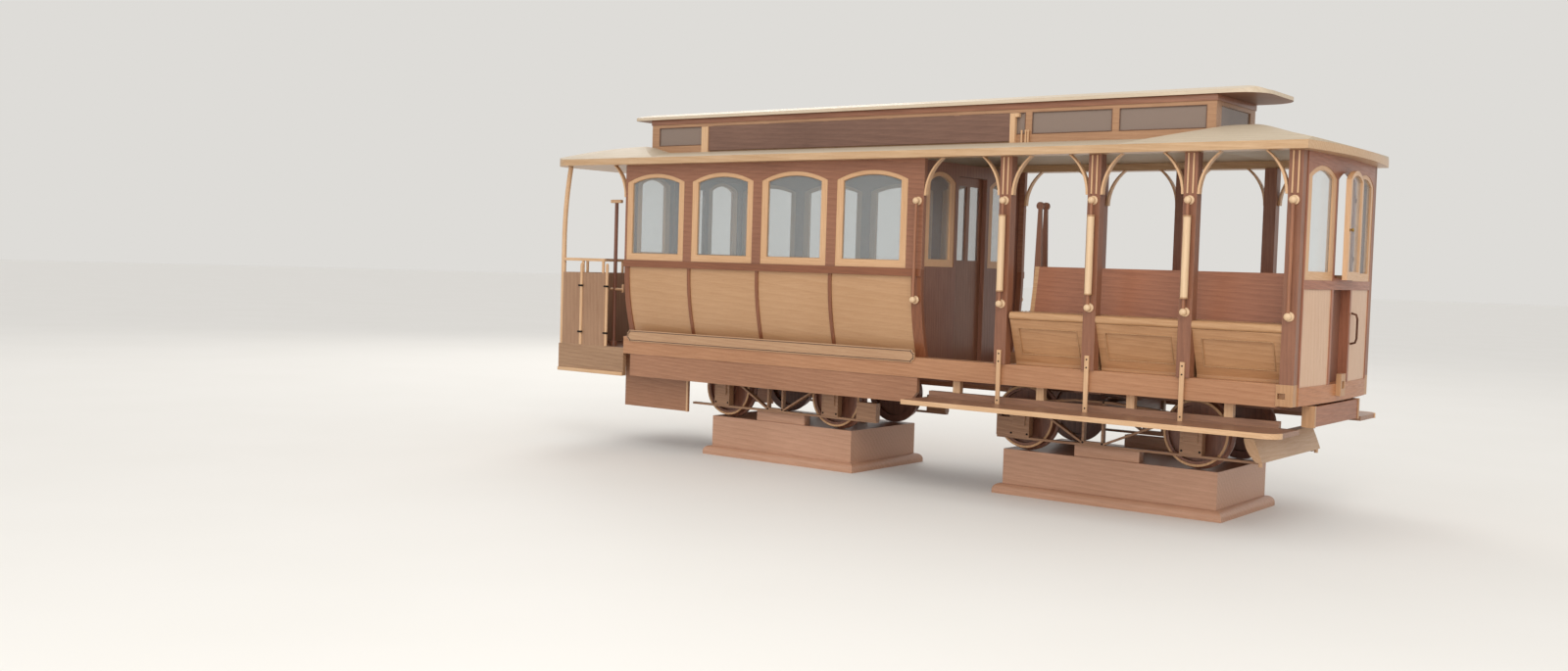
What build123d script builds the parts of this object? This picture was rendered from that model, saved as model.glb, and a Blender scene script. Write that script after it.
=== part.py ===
from build123d import *
import math
import os

# Wooden model of a single-ended street cable car on its two support blocks, in millimetres.
# +X is the front of the car, +Y its left side, +Z up. The origin lies midway along the roof,
# on the level that the blocks stand on.

os.makedirs("parts", exist_ok=True)

# The car's main lengths, from the rear platform forward, and its half width
platform_length = 243.5
cabin_length = 919.5
open_length = 854
rear_overhang = 13.5
front_overhang = 32.5
half_width = 242

# Support blocks
block_height = 100
block_depth = 286
rear_block_length = 438
front_block_length = 494
moulding_height = 22
moulding_reach = 17.5
moulding_round = 15

# Wheels and axles
tread_radius = 70
flange_height = 6
flange_width = 7
flange_bevel = 2
wheel_width = 26
wheel_face = 143
rim_depth = 11
web_thickness = 8
hub_radius = 20
hub_overhang = 2
axle_radius = 9
journal_radius = 6
journal_end_gap = 1
rail_gap = 0.3
running_gap = 0.5

# Trucks, with the places of axles and bar ends taken from the pivot
rear_pivot_inset = 455
rear_axle_reach = (-170, 170)
rear_bar_reach = (-270, 305)
front_pivot_inset = 458
front_axle_reach = (-174.5, 219.5)
front_bar_reach = (-231, 365)
box_half_length = 24
box_inner = 150
box_thickness = 18
box_drop = 43.3
box_rise = 28.7
lid_width = 30
lid_height = 30
lid_thickness = 3
lid_drop = 2
bar_width = 12
bar_depth = 5
bar_foot_half = 26
top_bar_rise = 17
top_bar_half = 44
column_offset = 20
brake_block_length = 56
brake_block_height = 42
bolster_height = 32
bolster_end_inset = 2
pivot_radius = 40
pivot_height = 6
seat_gap = 0.3
pilot_half_width = 182
pilot_height = 47
pilot_thickness = 20
pilot_reach = 8
pilot_run = 39
pilot_toe_length = 12
pilot_peg_radius = 4.2
pilot_peg_length = 9
pilot_peg_inset = 9
# places in from the back or the toe, and heights over the toe, of the two curves' middles
pilot_back_bow = (8, 22)
pilot_face_bow = (9, 24)

# Underframe and floor
floor_rise = 165
floor_thickness = 7
center_sill_inner = 55
center_sill_width = 20
center_sill_depth = 26
body_bolster_half_length = 30
body_bolster_half_width = 60
body_bolster_tip_depth = 14
cross_beam_width = 20
cabin_beam_inset = 125
entry_beam_inset = 35
front_beam_inset = 59
buffer_half_width = 140
buffer_drop = 55
buffer_height = 40
buffer_depth = 24
buffer_cap_thickness = 8
buffer_cap_lip = 1.5
grip_inset = 173
grip_slot_length = 60
grip_slot_width = 16

# Sides of the body
side_recess = 4
sill_width = 42
sill_drop = 14
sill_height = 45
corner_post_width = 27
wall_thickness = 12
tumblehome = 32
panel_height = 184
panel_thickness = 8
belt_height = 17
belt_overhang = 3
batten_count = 3
batten_start = 2
batten_width = 9
batten_overhang = 3
rear_corner_width = 16
plank_recess = 2
plank_height = 58
plank_rear_inset = 23.5
plank_front_inset = 5
plank_chamfer_run = 20
plank_chamfer_rise = 24
name_plate_rear_inset = 15.5
name_plate_front_inset = 11.5
name_plate_drop = 12
name_plate_height = 30
name_plate_thickness = 3
name_plate_notch = 7

# Windows of the cabin
window_count = 4
window_rear_margin = 6.5
window_front_margin = 43.1
window_pier = 27.3
window_gap = 1
window_height = 202
window_rise = 21.5
header_height = 24
sash_stile = 18
sash_rail = 17
sash_head = 9
sash_spring_drop = 2
sash_thickness = 9
sash_inset = 1
glass_thickness = 2

# Bulkheads and their sliding doors
bulkhead_thickness = 12
front_bulkhead_inset = 26
door_width = 142
door_height = 457
door_lap = 5
door_thickness = 8
door_clearance = 2
door_stile = 16
door_muntin = 14
door_glass_drop = 202
door_glass_height = 176
door_track_height = 10
door_travel = 125
bulkhead_window_inner = 80
bulkhead_window_margin = 22
bulkhead_window_rise = 5

# Benches in the cabin
cabin_seat_depth = 96
cabin_seat_wall_gap = 18
cabin_seat_height = 101
cabin_seat_clearance = 20
cabin_back_height = 104
board_thickness = 8

# Open section with its outward-facing benches
post_count = 4
entry_width = 206.5
post_front_inset = 25
post_width = 28
post_depth = 24
bench_rear_inset = 20
seat_height = 146
seat_depth = 91
slat_count = 4
slat_width = 14
slat_gap = 3
slat_depth = 10
slat_inset = 4
seat_rail_height = 17
seat_rail_width = 18
seat_nose_reach = 4
seat_nose_round = 7
back_rise = 99
back_lean = 17
apron_inset = 36
apron_rise = 6
apron_frame = 17
apron_field_depth = 3
gable_thickness = 10

# Grab rails and eave brackets
rail_rise = 16
rail_length = 223
rail_offset = 10
rail_radius = 3.5
knob_radius = 6
knob_overhang = 1
sleeve_start = 28
sleeve_length = 163
sleeve_radius = 7.5
bracket_rise = 83.5
bracket_reach = 42
bracket_thickness = 5
post_strip_spacing = 11
post_strip_width = 3.2
post_strip_thickness = 1.8
post_strip_gap = 1.5

# Running boards
running_rear_inset = 15
running_front_inset = 9
running_reach = 90
running_width = 130
running_drop = 56.5
running_thickness = 10
running_round = 30
kick_board_width = 14
kick_board_height = 13.5
riser_offset = 120
riser_width = 18
strap_width = 9.5
strap_thickness = 4
strap_rise = 31

# Front end
front_bow = 11
front_wall_thickness = 12
front_depth = 23
front_band_rise = 3
front_band_height = 36
center_half = 56
mullion_width = 10
front_window_margin = 4
front_panel_thickness = 7
front_panel_inset = 2
door_recess = 20
door_panel_thickness = 6
corner_block_depth = 44.4
pocket_width = 30
pocket_height = 45
pocket_depth = 10
pocket_hole = 15
pocket_slot_height = 11
pocket_margin = 3
pocket_rise = 11

# Casement leaf of the front, standing a little ajar
leaf_opening_rise = 6
leaf_opening_arch = 17.5
leaf_gap = 2
leaf_width = 122
leaf_arch = 20
leaf_thickness = 10
leaf_stile = 14
leaf_ajar = 5
hinge_lap = 8
hinge_standoff = 4.5
hinge_radius = 3.5
hinge_pin_radius = 1.5
hinge_root = 1
hinge_plate_lap = 2
hinge_rises = (50, 170)
knuckle_height = 9

# Rear platform
fascia_thickness = 12
fascia_height = 74
entry_length = 72.5
dash_height = 195
dash_thickness = 9
rear_post_inset = 6
rear_post_recess = 7
rear_post_radius = 6.5
rear_post_straight = 280
rear_post_lean = 20
platform_rail_rise = 35
platform_rail_radius = 4
peg_radius = 4
side_peg_insets = (12, 87.5)
end_peg_y = 140
rail_end_gap = 5
staff_inset = 17.5
staff_y = 182
staff_radius = 5
staff_height = 385
staff_collar_height = 12
handle_length = 37
handle_thickness = 8
step_board_y = 182
step_board_thickness = 6
step_board_gap = 2.5
step_board_length = 224
step_board_height = 136

# Lower roof, with its hoods as places in from the roof's end and heights over the eave
eave_thickness = 16.5
eave_overhang = 28
roof_front_bow = 28
roof_rear_round = 60
roof_front_round = 50
roof_rise = 24
roof_slope_run = 97
roof_ledge_half = 122
roof_ledge_bow = 9
roof_ledge_round = 25
roof_opening_gap = 2
roof_opening_taper = 6
roof_shell = 11
hood_height = 56
front_hood_inset = 416.5
rear_hood_inset = 371.5
# swell, crown, middle of the nose, end of the nose
front_hood = ((279.5, 33.6), (226.5, 56), (150.5, 41), (91.5, 23))
rear_hood = ((281.5, 28), (231.5, 41), (151.5, 35), (81.5, 22))

# Clerestory
clerestory_rear_inset = 226.5
clerestory_front_inset = 268.5
clerestory_half = 112
clerestory_wall = 8
clerestory_height = 89
pane_sill = 20
pane_head = 22
pane_rear_inset = 27
pane_front_inset = 21
pane_pier = 18
# widths of the side panes, as shares of the first
pane_shares = (1, 1, 1, 1, 1, 1, 1.13, 1.14)
end_pane_half = 84
top_roof_rear_lap = 57
top_roof_front_lap = 97
top_roof_side_lap = 9
top_roof_edge = 8
top_roof_crown = 17
top_roof_round = 65
top_tail_round = 10
top_nose_run = 130
# place in from the front and height over the edge of the middle of the nose's curve
top_nose_middle = (60, 14)
top_tail_run = 60
top_tail_rise = 4
top_roof_lap = 1
sign_rear_inset = 205
sign_length = 890
sign_rise = 4
sign_height = 62
sign_thickness = 5
sign_gap = 2
sign_bracket_width = 22
sign_hook_stem = 13
sign_hook_height = 9

# Levers of the open section
lever_base_length = 120
lever_base_width = 44
lever_base_thickness = 8
lever_spacing = 28
lever_thickness = 6
lever_foot_half = 16
lever_top_half = 4
lever_height = 385
lever_knob_radius = 9

# How far a cutting shape reaches past what it cuts
cut_margin = 5

# Places along the car that follow from the lengths
roof_end = (rear_overhang + platform_length + cabin_length + open_length + front_overhang) / 2
front_x = roof_end - front_overhang
cabin_front = front_x - open_length
cabin_rear = cabin_front - cabin_length
platform_rear = cabin_rear - platform_length
front_back = front_x - front_depth
corner_block_rear = front_x - corner_block_depth
rear_pivot_x = cabin_rear + rear_pivot_inset
rear_axles = [rear_pivot_x + reach for reach in rear_axle_reach]
rear_bar_ends = [rear_pivot_x + reach for reach in rear_bar_reach]
front_pivot_x = front_x - front_pivot_inset
front_axles = [front_pivot_x + reach for reach in front_axle_reach]
front_bar_ends = [front_pivot_x + reach for reach in front_bar_reach]
rear_block_x = sum(rear_axles) / 2
front_block_x = sum(front_axles) / 2
grip_x = cabin_front + grip_inset
cross_beam_x = (cabin_rear + cross_beam_width / 2, cabin_front - cabin_beam_inset,
                cabin_front + entry_beam_inset, front_x - front_beam_inset)
window_pitch = (cabin_length - window_rear_margin - window_front_margin + window_pier) / window_count
window_width = window_pitch - window_pier
window_x = [cabin_rear + window_rear_margin + window_width / 2 + index * window_pitch
            for index in range(window_count)]
batten_pitch = (cabin_length - corner_post_width - batten_width) / (batten_count + 1)
batten_x = [cabin_rear + batten_start + (index + 1) * batten_pitch for index in range(batten_count)]
plank_rear = cabin_rear + plank_rear_inset
plank_front = cabin_front - plank_front_inset
name_plate_rear = cabin_rear + name_plate_rear_inset
name_plate_front = cabin_front - name_plate_front_inset
front_bulkhead_x = cabin_front - front_bulkhead_inset
post_pitch = (open_length - entry_width - post_front_inset) / (post_count - 1)
post_x = [cabin_front + entry_width + index * post_pitch for index in range(post_count)]
bench_rear = post_x[0] + bench_rear_inset
running_rear = cabin_front + running_rear_inset
running_front = front_x - running_front_inset
riser_x = [center - riser_offset for center in post_x]
entry_rear = cabin_rear - entry_length
rear_post_x = platform_rear + rear_post_inset
side_peg_x = [entry_rear - inset for inset in side_peg_insets]
staff_x = entry_rear - staff_inset
step_board_front = rear_bar_ends[0] - step_board_gap
step_board_rear = step_board_front - step_board_length
clerestory_rear = clerestory_rear_inset - roof_end
clerestory_front = roof_end - clerestory_front_inset
clerestory_mid = (clerestory_rear + clerestory_front) / 2
top_roof_rear = clerestory_rear - top_roof_rear_lap
top_roof_front = clerestory_front + top_roof_front_lap
sign_rear = clerestory_rear + sign_rear_inset
sign_front = sign_rear + sign_length

# Heights that follow
flange_radius = tread_radius + flange_height
axle_height = block_height + rail_gap + flange_radius
box_bottom = axle_height - box_drop
box_top = axle_height + box_rise
pilot_top = box_bottom + pilot_height
truck_bolster_top = box_top + top_bar_rise
body_bolster_bottom = truck_bolster_top + pivot_height + seat_gap
floor_top = block_height + floor_rise
floor_bottom = floor_top - floor_thickness
center_sill_bottom = floor_bottom - center_sill_depth
buffer_bottom = floor_top - buffer_drop
sill_bottom = floor_top - sill_drop
sill_top = sill_bottom + sill_height
plank_bottom = sill_bottom - plank_height
name_plate_bottom = sill_top - name_plate_drop
belt_bottom = sill_top + panel_height
belt_top = belt_bottom + belt_height
window_bottom = belt_top + window_gap
window_spring = window_bottom + window_height
window_crown = window_spring + window_rise
eave_bottom = window_crown + header_height
door_top = floor_top + door_height
door_glass_bottom = door_top - door_glass_drop
bulkhead_window_bottom = window_bottom + bulkhead_window_rise
cabin_seat_top = floor_top + cabin_seat_height
cabin_back_top = cabin_seat_top + cabin_back_height
seat_top = floor_top + seat_height
seat_underside = seat_top - slat_depth
apron_foot = sill_top + apron_rise
rail_low = seat_top + rail_rise
rail_high = rail_low + rail_length
sleeve_low = rail_low + sleeve_start
sleeve_high = sleeve_low + sleeve_length
bracket_foot = eave_bottom - bracket_rise
running_top = floor_top - running_drop
kick_board_top = running_top + kick_board_height
strap_top = sill_top + strap_rise
front_band_bottom = sill_bottom + front_band_rise
front_band_top = front_band_bottom + front_band_height
leaf_bottom = window_bottom + leaf_gap
hinge_heights = [window_bottom + rise for rise in hinge_rises]
fascia_bottom = floor_top - fascia_height
dash_top = floor_top + dash_height
rear_post_bend = floor_top + rear_post_straight
platform_rail_height = dash_top + platform_rail_rise
staff_top = floor_top + staff_height
step_board_bottom = floor_bottom - body_bolster_tip_depth - step_board_height
roof_foot = eave_bottom + eave_thickness
roof_ledge = roof_foot + roof_rise
hood_crown = roof_foot + hood_height
clerestory_top = roof_ledge + clerestory_height
pane_bottom = roof_ledge + pane_sill
pane_height = clerestory_height - pane_sill - pane_head
sign_bottom = roof_ledge + sign_rise
sign_top = sign_bottom + sign_height
lever_top = floor_top + lever_height

# Places across the car that follow
sill_face = half_width - side_recess
sill_inner = sill_face - sill_width
wall_inner = half_width - wall_thickness
plank_inner = sill_face - plank_recess - wall_thickness
post_inner = half_width - post_depth
bulkhead_window_width = wall_inner - bulkhead_window_margin - bulkhead_window_inner
cabin_seat_outer = wall_inner - cabin_seat_wall_gap
cabin_seat_inner = cabin_seat_outer - cabin_seat_depth
seat_inner = sill_face - seat_depth
slat_start = seat_inner + slat_inset
running_edge = half_width + running_reach
running_inner = running_edge - running_width
front_window_outer = post_inner - front_window_margin
hinge_y = center_half + hinge_lap
rear_post_y = sill_face - rear_post_recess
roof_half = half_width + eave_overhang
roof_opening_half = wall_inner - roof_opening_gap
top_roof_half = clerestory_half + top_roof_side_lap

# Curve of the sides and bow of the front
curve_radius = (tumblehome**2 + panel_height**2) / (2 * tumblehome)
curve_center = sill_face - curve_radius
front_radius = (half_width**2 + front_bow**2) / (2 * front_bow)


def curve_y(inset, height):
    """Distance from the middle of the curved side, inset from its face, at a height."""
    return curve_center + math.sqrt((curve_radius - inset) ** 2 - (belt_bottom - height) ** 2)


def curved_band(inset, depth, foot):
    """Section of a board that follows the curved side between a foot and the belt."""
    middle = (foot + belt_bottom) / 2
    outer = [(curve_y(inset, height), height) for height in (belt_bottom, middle, foot)]
    inner = [(curve_y(inset + depth, height), height) for height in (foot, middle, belt_bottom)]
    with BuildLine() as outline:
        ThreePointArc(*outer)
        Line(outer[2], inner[0])
        ThreePointArc(*inner)
        Line(inner[2], outer[0])
    make_face(outline.edges())


def arched_face(center, width, bottom, spring, rise, mode=Mode.ADD):
    """A window outline: sill and sides straight, under a flat arch."""
    left = center - width / 2
    right = center + width / 2
    with BuildLine() as outline:
        Polyline((left, spring), (left, bottom), (right, bottom), (right, spring))
        ThreePointArc((right, spring), (center, spring + rise), (left, spring))
    make_face(outline.edges(), mode=mode)


def arched_glass(center, width, bottom, spring, rise, mode=Mode.ADD):
    """The opening inside a sash whose outline is an arched face."""
    arched_face(center, width - 2 * sash_stile, bottom + sash_rail, spring - sash_spring_drop,
                rise - sash_head + sash_spring_drop, mode)


def bow_x(distance):
    """How far forward the bowed front stands at a distance from the middle."""
    return front_x - front_radius + math.sqrt(front_radius**2 - distance**2)


def bowed_face(half, inset, depth):
    """Plan of a board that follows the bowed front, to a half width either side."""
    with BuildLine() as outline:
        ThreePointArc((bow_x(half) - inset, -half), (front_x - inset, 0), (bow_x(half) - inset, half))
        Line((bow_x(half) - inset, half), (bow_x(half) - inset - depth, half))
        ThreePointArc((bow_x(half) - inset - depth, half), (front_x - inset - depth, 0),
                      (bow_x(half) - inset - depth, -half))
        Line((bow_x(half) - inset - depth, -half), (bow_x(half) - inset, -half))
    make_face(outline.edges())


def strip_face(points, depth):
    """A bar of even depth whose top edge follows the points."""
    lower = [(x, z - depth) for x, z in reversed(points)]
    with BuildLine() as outline:
        Polyline(*points, *lower, close=True)
    make_face(outline.edges())


def roof_plan(half, end, bow, rear_round, front_round):
    """Plan of a roof layer: square rear, bowed front, rounded corners."""
    with BuildSketch() as plan:
        with BuildLine():
            Polyline((end - bow, -half), (-end, -half), (-end, half), (end - bow, half))
            ThreePointArc((end - bow, half), (end, 0), (end - bow, -half))
        make_face()
        corners = plan.vertices().group_by(Axis.X)
        fillet(corners[0], radius=rear_round)
        fillet(corners[-1], radius=front_round)
    return plan.sketch


# Support blocks with a quarter-round moulding at the foot
# name, middle along the car, length
blocks = (("block_rear", rear_block_x, rear_block_length), ("block_front", front_block_x, front_block_length))
for name, center, length in blocks:
    with BuildPart() as block:
        with BuildSketch():
            with Locations((center, 0)):
                Rectangle(length + 2 * moulding_reach, block_depth + 2 * moulding_reach)
        extrude(amount=moulding_height)
        fillet(block.faces().sort_by(Axis.Z)[-1].edges(), radius=moulding_round)
        with BuildSketch():
            with Locations((center, 0)):
                Rectangle(length, block_depth)
        extrude(amount=block_height)
    block.part.label = name
    export_step(block.part, f"parts/{name}.step")

# Wheelsets: an axle with two flanged disc wheels, turned in one profile
wheel_inner = wheel_face - wheel_width
journal_end = box_inner + box_thickness - journal_end_gap
web_outer = wheel_face - (wheel_width - web_thickness) / 2
half_profile = (
    (journal_end, 0),
    (journal_end, journal_radius),
    (box_inner - running_gap, journal_radius),
    (box_inner - running_gap, axle_radius),
    (wheel_face + hub_overhang, axle_radius),
    (wheel_face + hub_overhang, hub_radius),
    (web_outer, hub_radius),
    (web_outer, tread_radius - rim_depth),
    (wheel_face, tread_radius - rim_depth),
    (wheel_face, tread_radius),
    (wheel_inner + flange_width, tread_radius),
    (wheel_inner + flange_width - flange_bevel, flange_radius),
    (wheel_inner, flange_radius),
    (wheel_inner, tread_radius - rim_depth),
    (web_outer - web_thickness, tread_radius - rim_depth),
    (web_outer - web_thickness, axle_radius),
)
# name, place along the car
wheelsets = (("wheelset_rear_1", rear_axles[0]), ("wheelset_rear_2", rear_axles[1]),
             ("wheelset_front_1", front_axles[0]), ("wheelset_front_2", front_axles[1]))
for name, axle_x in wheelsets:
    with BuildPart() as wheelset:
        with BuildSketch(Plane.YZ.offset(axle_x)):
            with BuildLine():
                right = [(y, axle_height + radius) for y, radius in half_profile]
                left = [(-y, axle_height + radius) for y, radius in reversed(half_profile)]
                Polyline(*right, *left, close=True)
            make_face()
        revolve(axis=Axis((axle_x, 0, axle_height), (0, 1, 0)))
    wheelset.part.label = name
    export_step(wheelset.part, f"parts/{name}.step")

# Truck side frames: arch bars and columns over a bottom bar, with the lidded journal boxes
# name, pivot, axles, ends of the bottom bar, rear end of the brake block
rear_brake_x = rear_bar_ends[1] - brake_block_length
trucks = (("truck_sides_rear", rear_pivot_x, rear_axles, rear_bar_ends, rear_brake_x),
          ("truck_sides_front", front_pivot_x, front_axles, front_bar_ends, front_bar_ends[0]))
for name, pivot, axles, bar_ends, brake_x in trucks:
    with BuildPart() as truck_sides:
        bar_top = box_top + bar_depth
        with BuildSketch(Plane.XZ.offset(box_inner + (box_thickness - bar_width) / 2)):
            strip_face([(end, box_bottom) for end in bar_ends], bar_depth)
            strip_face(
                (
                    (axles[0] - box_half_length, bar_top),
                    (axles[0] + box_half_length, bar_top),
                    (pivot - bar_foot_half, box_bottom + bar_depth),
                    (pivot + bar_foot_half, box_bottom + bar_depth),
                    (axles[1] - box_half_length, bar_top),
                    (axles[1] + box_half_length, bar_top),
                ),
                bar_depth,
            )
            strip_face(
                (
                    (axles[0] - box_half_length, bar_top + bar_depth),
                    (axles[0] + box_half_length, bar_top + bar_depth),
                    (pivot - top_bar_half, bar_top + top_bar_rise),
                    (pivot + top_bar_half, bar_top + top_bar_rise),
                    (axles[1] - box_half_length, bar_top + bar_depth),
                    (axles[1] + box_half_length, bar_top + bar_depth),
                ),
                bar_depth,
            )
            with Locations((pivot, (box_bottom + truck_bolster_top) / 2)):
                with GridLocations(2 * column_offset + bar_depth, 0, 2, 1):
                    Rectangle(bar_depth, truck_bolster_top - box_bottom)
        extrude(amount=bar_width)
        with BuildSketch(Plane.XZ.offset(box_inner)):
            for axle_x in axles:
                with Locations((axle_x, (box_bottom + box_top) / 2)):
                    Rectangle(2 * box_half_length, box_top - box_bottom)
            with Locations((brake_x, box_bottom)):
                Rectangle(brake_block_length, brake_block_height, align=(Align.MIN, Align.MIN))
            for axle_x in axles:
                with Locations((axle_x, axle_height)):
                    Circle(journal_radius + running_gap, mode=Mode.SUBTRACT)
        extrude(amount=box_thickness)
        with BuildSketch(Plane.XZ.offset(box_inner + box_thickness)):
            for axle_x in axles:
                with Locations((axle_x, axle_height - lid_drop)):
                    Rectangle(lid_width, lid_height)
        extrude(amount=lid_thickness)
        mirror(about=Plane.XZ)
    truck_sides.part.label = name
    export_step(truck_sides.part, f"parts/{name}.step")

# Truck bolsters between the columns, with the round centre plate that the body turns on
# name, pivot
bolsters = (("truck_bolster_rear", rear_pivot_x), ("truck_bolster_front", front_pivot_x))
for name, pivot in bolsters:
    with BuildPart() as bolster:
        with BuildSketch(Plane.XY.offset(truck_bolster_top - bolster_height)):
            with Locations((pivot, 0)):
                Rectangle(2 * column_offset, 2 * (box_inner + box_thickness - bolster_end_inset))
        extrude(amount=bolster_height)
        with BuildSketch(Plane.XY.offset(truck_bolster_top)):
            with Locations((pivot, 0)):
                Circle(pivot_radius)
        extrude(amount=pivot_height)
    bolster.part.label = name
    export_step(bolster.part, f"parts/{name}.step")

# Pilot: a scoop-shaped board across the ends of the front truck's bottom bars, with a peg under each end
pilot_toe = front_bar_ends[1] + pilot_reach
pilot_back = pilot_toe - pilot_run
with BuildPart() as pilot:
    with BuildSketch(Plane.XZ.offset(-pilot_half_width)):
        with BuildLine():
            ThreePointArc((pilot_back, pilot_top),
                          (pilot_back + pilot_back_bow[0], box_bottom + pilot_back_bow[1]),
                          (pilot_toe - pilot_toe_length, box_bottom))
            Line((pilot_toe - pilot_toe_length, box_bottom), (pilot_toe, box_bottom))
            ThreePointArc((pilot_toe, box_bottom),
                          (pilot_toe - pilot_face_bow[0], box_bottom + pilot_face_bow[1]),
                          (pilot_back + pilot_thickness, pilot_top))
            Line((pilot_back + pilot_thickness, pilot_top), (pilot_back, pilot_top))
        make_face()
    extrude(amount=2 * pilot_half_width)
    with BuildSketch(Plane.XY.offset(box_bottom)):
        with Locations((pilot_toe - pilot_toe_length / 2, 0)):
            with GridLocations(0, 2 * (pilot_half_width - pilot_peg_inset), 1, 2):
                Circle(pilot_peg_radius)
    extrude(amount=-pilot_peg_length)
pilot.part.label = "pilot"
export_step(pilot.part, "parts/pilot.step")

# Underframe: two centre sills, a tapered bolster over each truck and cross beams
with BuildPart() as underframe:
    with BuildSketch(Plane.XY.offset(center_sill_bottom)):
        with Locations(((cabin_rear + front_back) / 2, 0)):
            with GridLocations(0, 2 * center_sill_inner + center_sill_width, 1, 2):
                Rectangle(front_back - cabin_rear, center_sill_width)
    extrude(amount=center_sill_depth)
    for pivot in (rear_pivot_x, front_pivot_x):
        with BuildSketch(Plane.YZ.offset(pivot - body_bolster_half_length)):
            with BuildLine():
                Polyline(
                    (-sill_inner, floor_bottom),
                    (-sill_inner, floor_bottom - body_bolster_tip_depth),
                    (-body_bolster_half_width, body_bolster_bottom),
                    (body_bolster_half_width, body_bolster_bottom),
                    (sill_inner, floor_bottom - body_bolster_tip_depth),
                    (sill_inner, floor_bottom),
                    close=True,
                )
            make_face()
        extrude(amount=2 * body_bolster_half_length)
    with BuildSketch(Plane.XY.offset(floor_bottom - body_bolster_tip_depth)):
        for beam_x in cross_beam_x:
            with Locations((beam_x, 0)):
                Rectangle(cross_beam_width, 2 * sill_inner)
    extrude(amount=body_bolster_tip_depth)
underframe.part.label = "underframe"
export_step(underframe.part, "parts/underframe.step")

# Floor of the cabin and the open section, and of the rear platform, with the grip's slot
with BuildPart() as floor:
    with BuildSketch(Plane.XY.offset(floor_bottom)):
        with Locations(((cabin_rear + front_back) / 2, 0)):
            Rectangle(front_back - cabin_rear, 2 * sill_inner)
        with Locations((platform_rear + fascia_thickness, 0)):
            Rectangle(cabin_rear - platform_rear - fascia_thickness, 2 * (sill_face - fascia_thickness),
                      align=(Align.MIN, Align.CENTER))
        with Locations((grip_x, 0)):
            SlotOverall(grip_slot_length, grip_slot_width, mode=Mode.SUBTRACT)
    extrude(amount=floor_thickness)
floor.part.label = "floor"
export_step(floor.part, "parts/floor.step")

# Side sills along the body
with BuildPart() as sills:
    with BuildSketch(Plane.XY.offset(sill_bottom)):
        with Locations((cabin_rear, sill_inner)):
            Rectangle(corner_block_rear - cabin_rear, sill_width, align=(Align.MIN, Align.MIN))
            Rectangle(front_back - cabin_rear, post_inner - sill_inner, align=(Align.MIN, Align.MIN))
    extrude(amount=sill_top - sill_bottom)
    mirror(about=Plane.XZ)
sills.part.label = "sills"
export_step(sills.part, "parts/sills.step")

# Light blocks of the front: one with a square pocket at each corner, one for the drawbar, and the
# end caps of the buffer beam
with BuildPart() as pocket_blocks:
    with BuildSketch(Plane.XZ.offset(post_inner)):
        with Locations((corner_block_rear, sill_bottom + pocket_margin)):
            Rectangle(front_x - front_bow - corner_block_rear, sill_top - sill_bottom - pocket_margin,
                      align=(Align.MIN, Align.MIN))
    extrude(amount=half_width - post_inner)
    with BuildSketch(Plane.XZ.offset(half_width)):
        with Locations((corner_block_rear + pocket_hole / 2 + pocket_margin, (sill_bottom + sill_top) / 2)):
            Rectangle(pocket_hole, pocket_slot_height)
    extrude(amount=-pocket_depth, mode=Mode.SUBTRACT)
    mirror(about=Plane.XZ)
    with BuildSketch(Plane.YZ.offset(front_x)):
        with Locations((0, front_band_bottom + pocket_rise)):
            Rectangle(pocket_width, pocket_height, align=(Align.CENTER, Align.MIN))
        with Locations((0, front_band_bottom + pocket_rise + pocket_height / 2)):
            Rectangle(pocket_hole, pocket_hole, mode=Mode.SUBTRACT)
    extrude(amount=pocket_depth)
    with BuildSketch(Plane.XY.offset(buffer_bottom - buffer_cap_lip)):
        with Locations((front_back + (buffer_depth + buffer_cap_lip) / 2, 0)):
            with GridLocations(0, 2 * buffer_half_width + buffer_cap_thickness, 1, 2):
                Rectangle(buffer_depth + buffer_cap_lip, buffer_cap_thickness)
    extrude(amount=buffer_height + 2 * buffer_cap_lip)
pocket_blocks.part.label = "pocket_blocks"
export_step(pocket_blocks.part, "parts/pocket_blocks.step")

# Skirt planks under the cabin's sills, cut off slantwise at the front
with BuildPart() as skirt_planks:
    with BuildSketch(Plane.XZ.offset(plank_inner)):
        with BuildLine():
            Polyline(
                (plank_rear, plank_bottom),
                (plank_front - plank_chamfer_run, plank_bottom),
                (plank_front, plank_bottom + plank_chamfer_rise),
                (plank_front, sill_bottom),
                (plank_rear, sill_bottom),
                close=True,
            )
        make_face()
    extrude(amount=wall_thickness)
    mirror(about=Plane.XZ)
skirt_planks.part.label = "skirt_planks"
export_step(skirt_planks.part, "parts/skirt_planks.step")

# Long blank name boards on the sills, with a quarter circle out of each corner
with BuildPart() as name_boards:
    with BuildSketch(Plane.XZ.offset(sill_face)):
        with Locations(((name_plate_rear + name_plate_front) / 2, name_plate_bottom + name_plate_height / 2)):
            Rectangle(name_plate_front - name_plate_rear, name_plate_height)
            with GridLocations(name_plate_front - name_plate_rear, name_plate_height, 2, 2):
                Circle(name_plate_notch, mode=Mode.SUBTRACT)
    extrude(amount=name_plate_thickness)
    mirror(about=Plane.XZ)
name_boards.part.label = "name_boards"
export_step(name_boards.part, "parts/name_boards.step")

# Curved side panels between the battens
panel_edges = [cabin_rear + rear_corner_width]
for center in batten_x:
    panel_edges += [center - batten_width / 2, center + batten_width / 2]
panel_edges.append(cabin_front - corner_post_width)
panel_spans = list(zip(panel_edges[::2], panel_edges[1::2]))
with BuildPart() as side_panels:
    for rear, front in panel_spans:
        with BuildSketch(Plane.YZ.offset(rear)):
            curved_band(0, panel_thickness, sill_top)
        extrude(amount=front - rear)
    mirror(about=Plane.XZ)
side_panels.part.label = "side_panels"
export_step(side_panels.part, "parts/side_panels.step")

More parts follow.
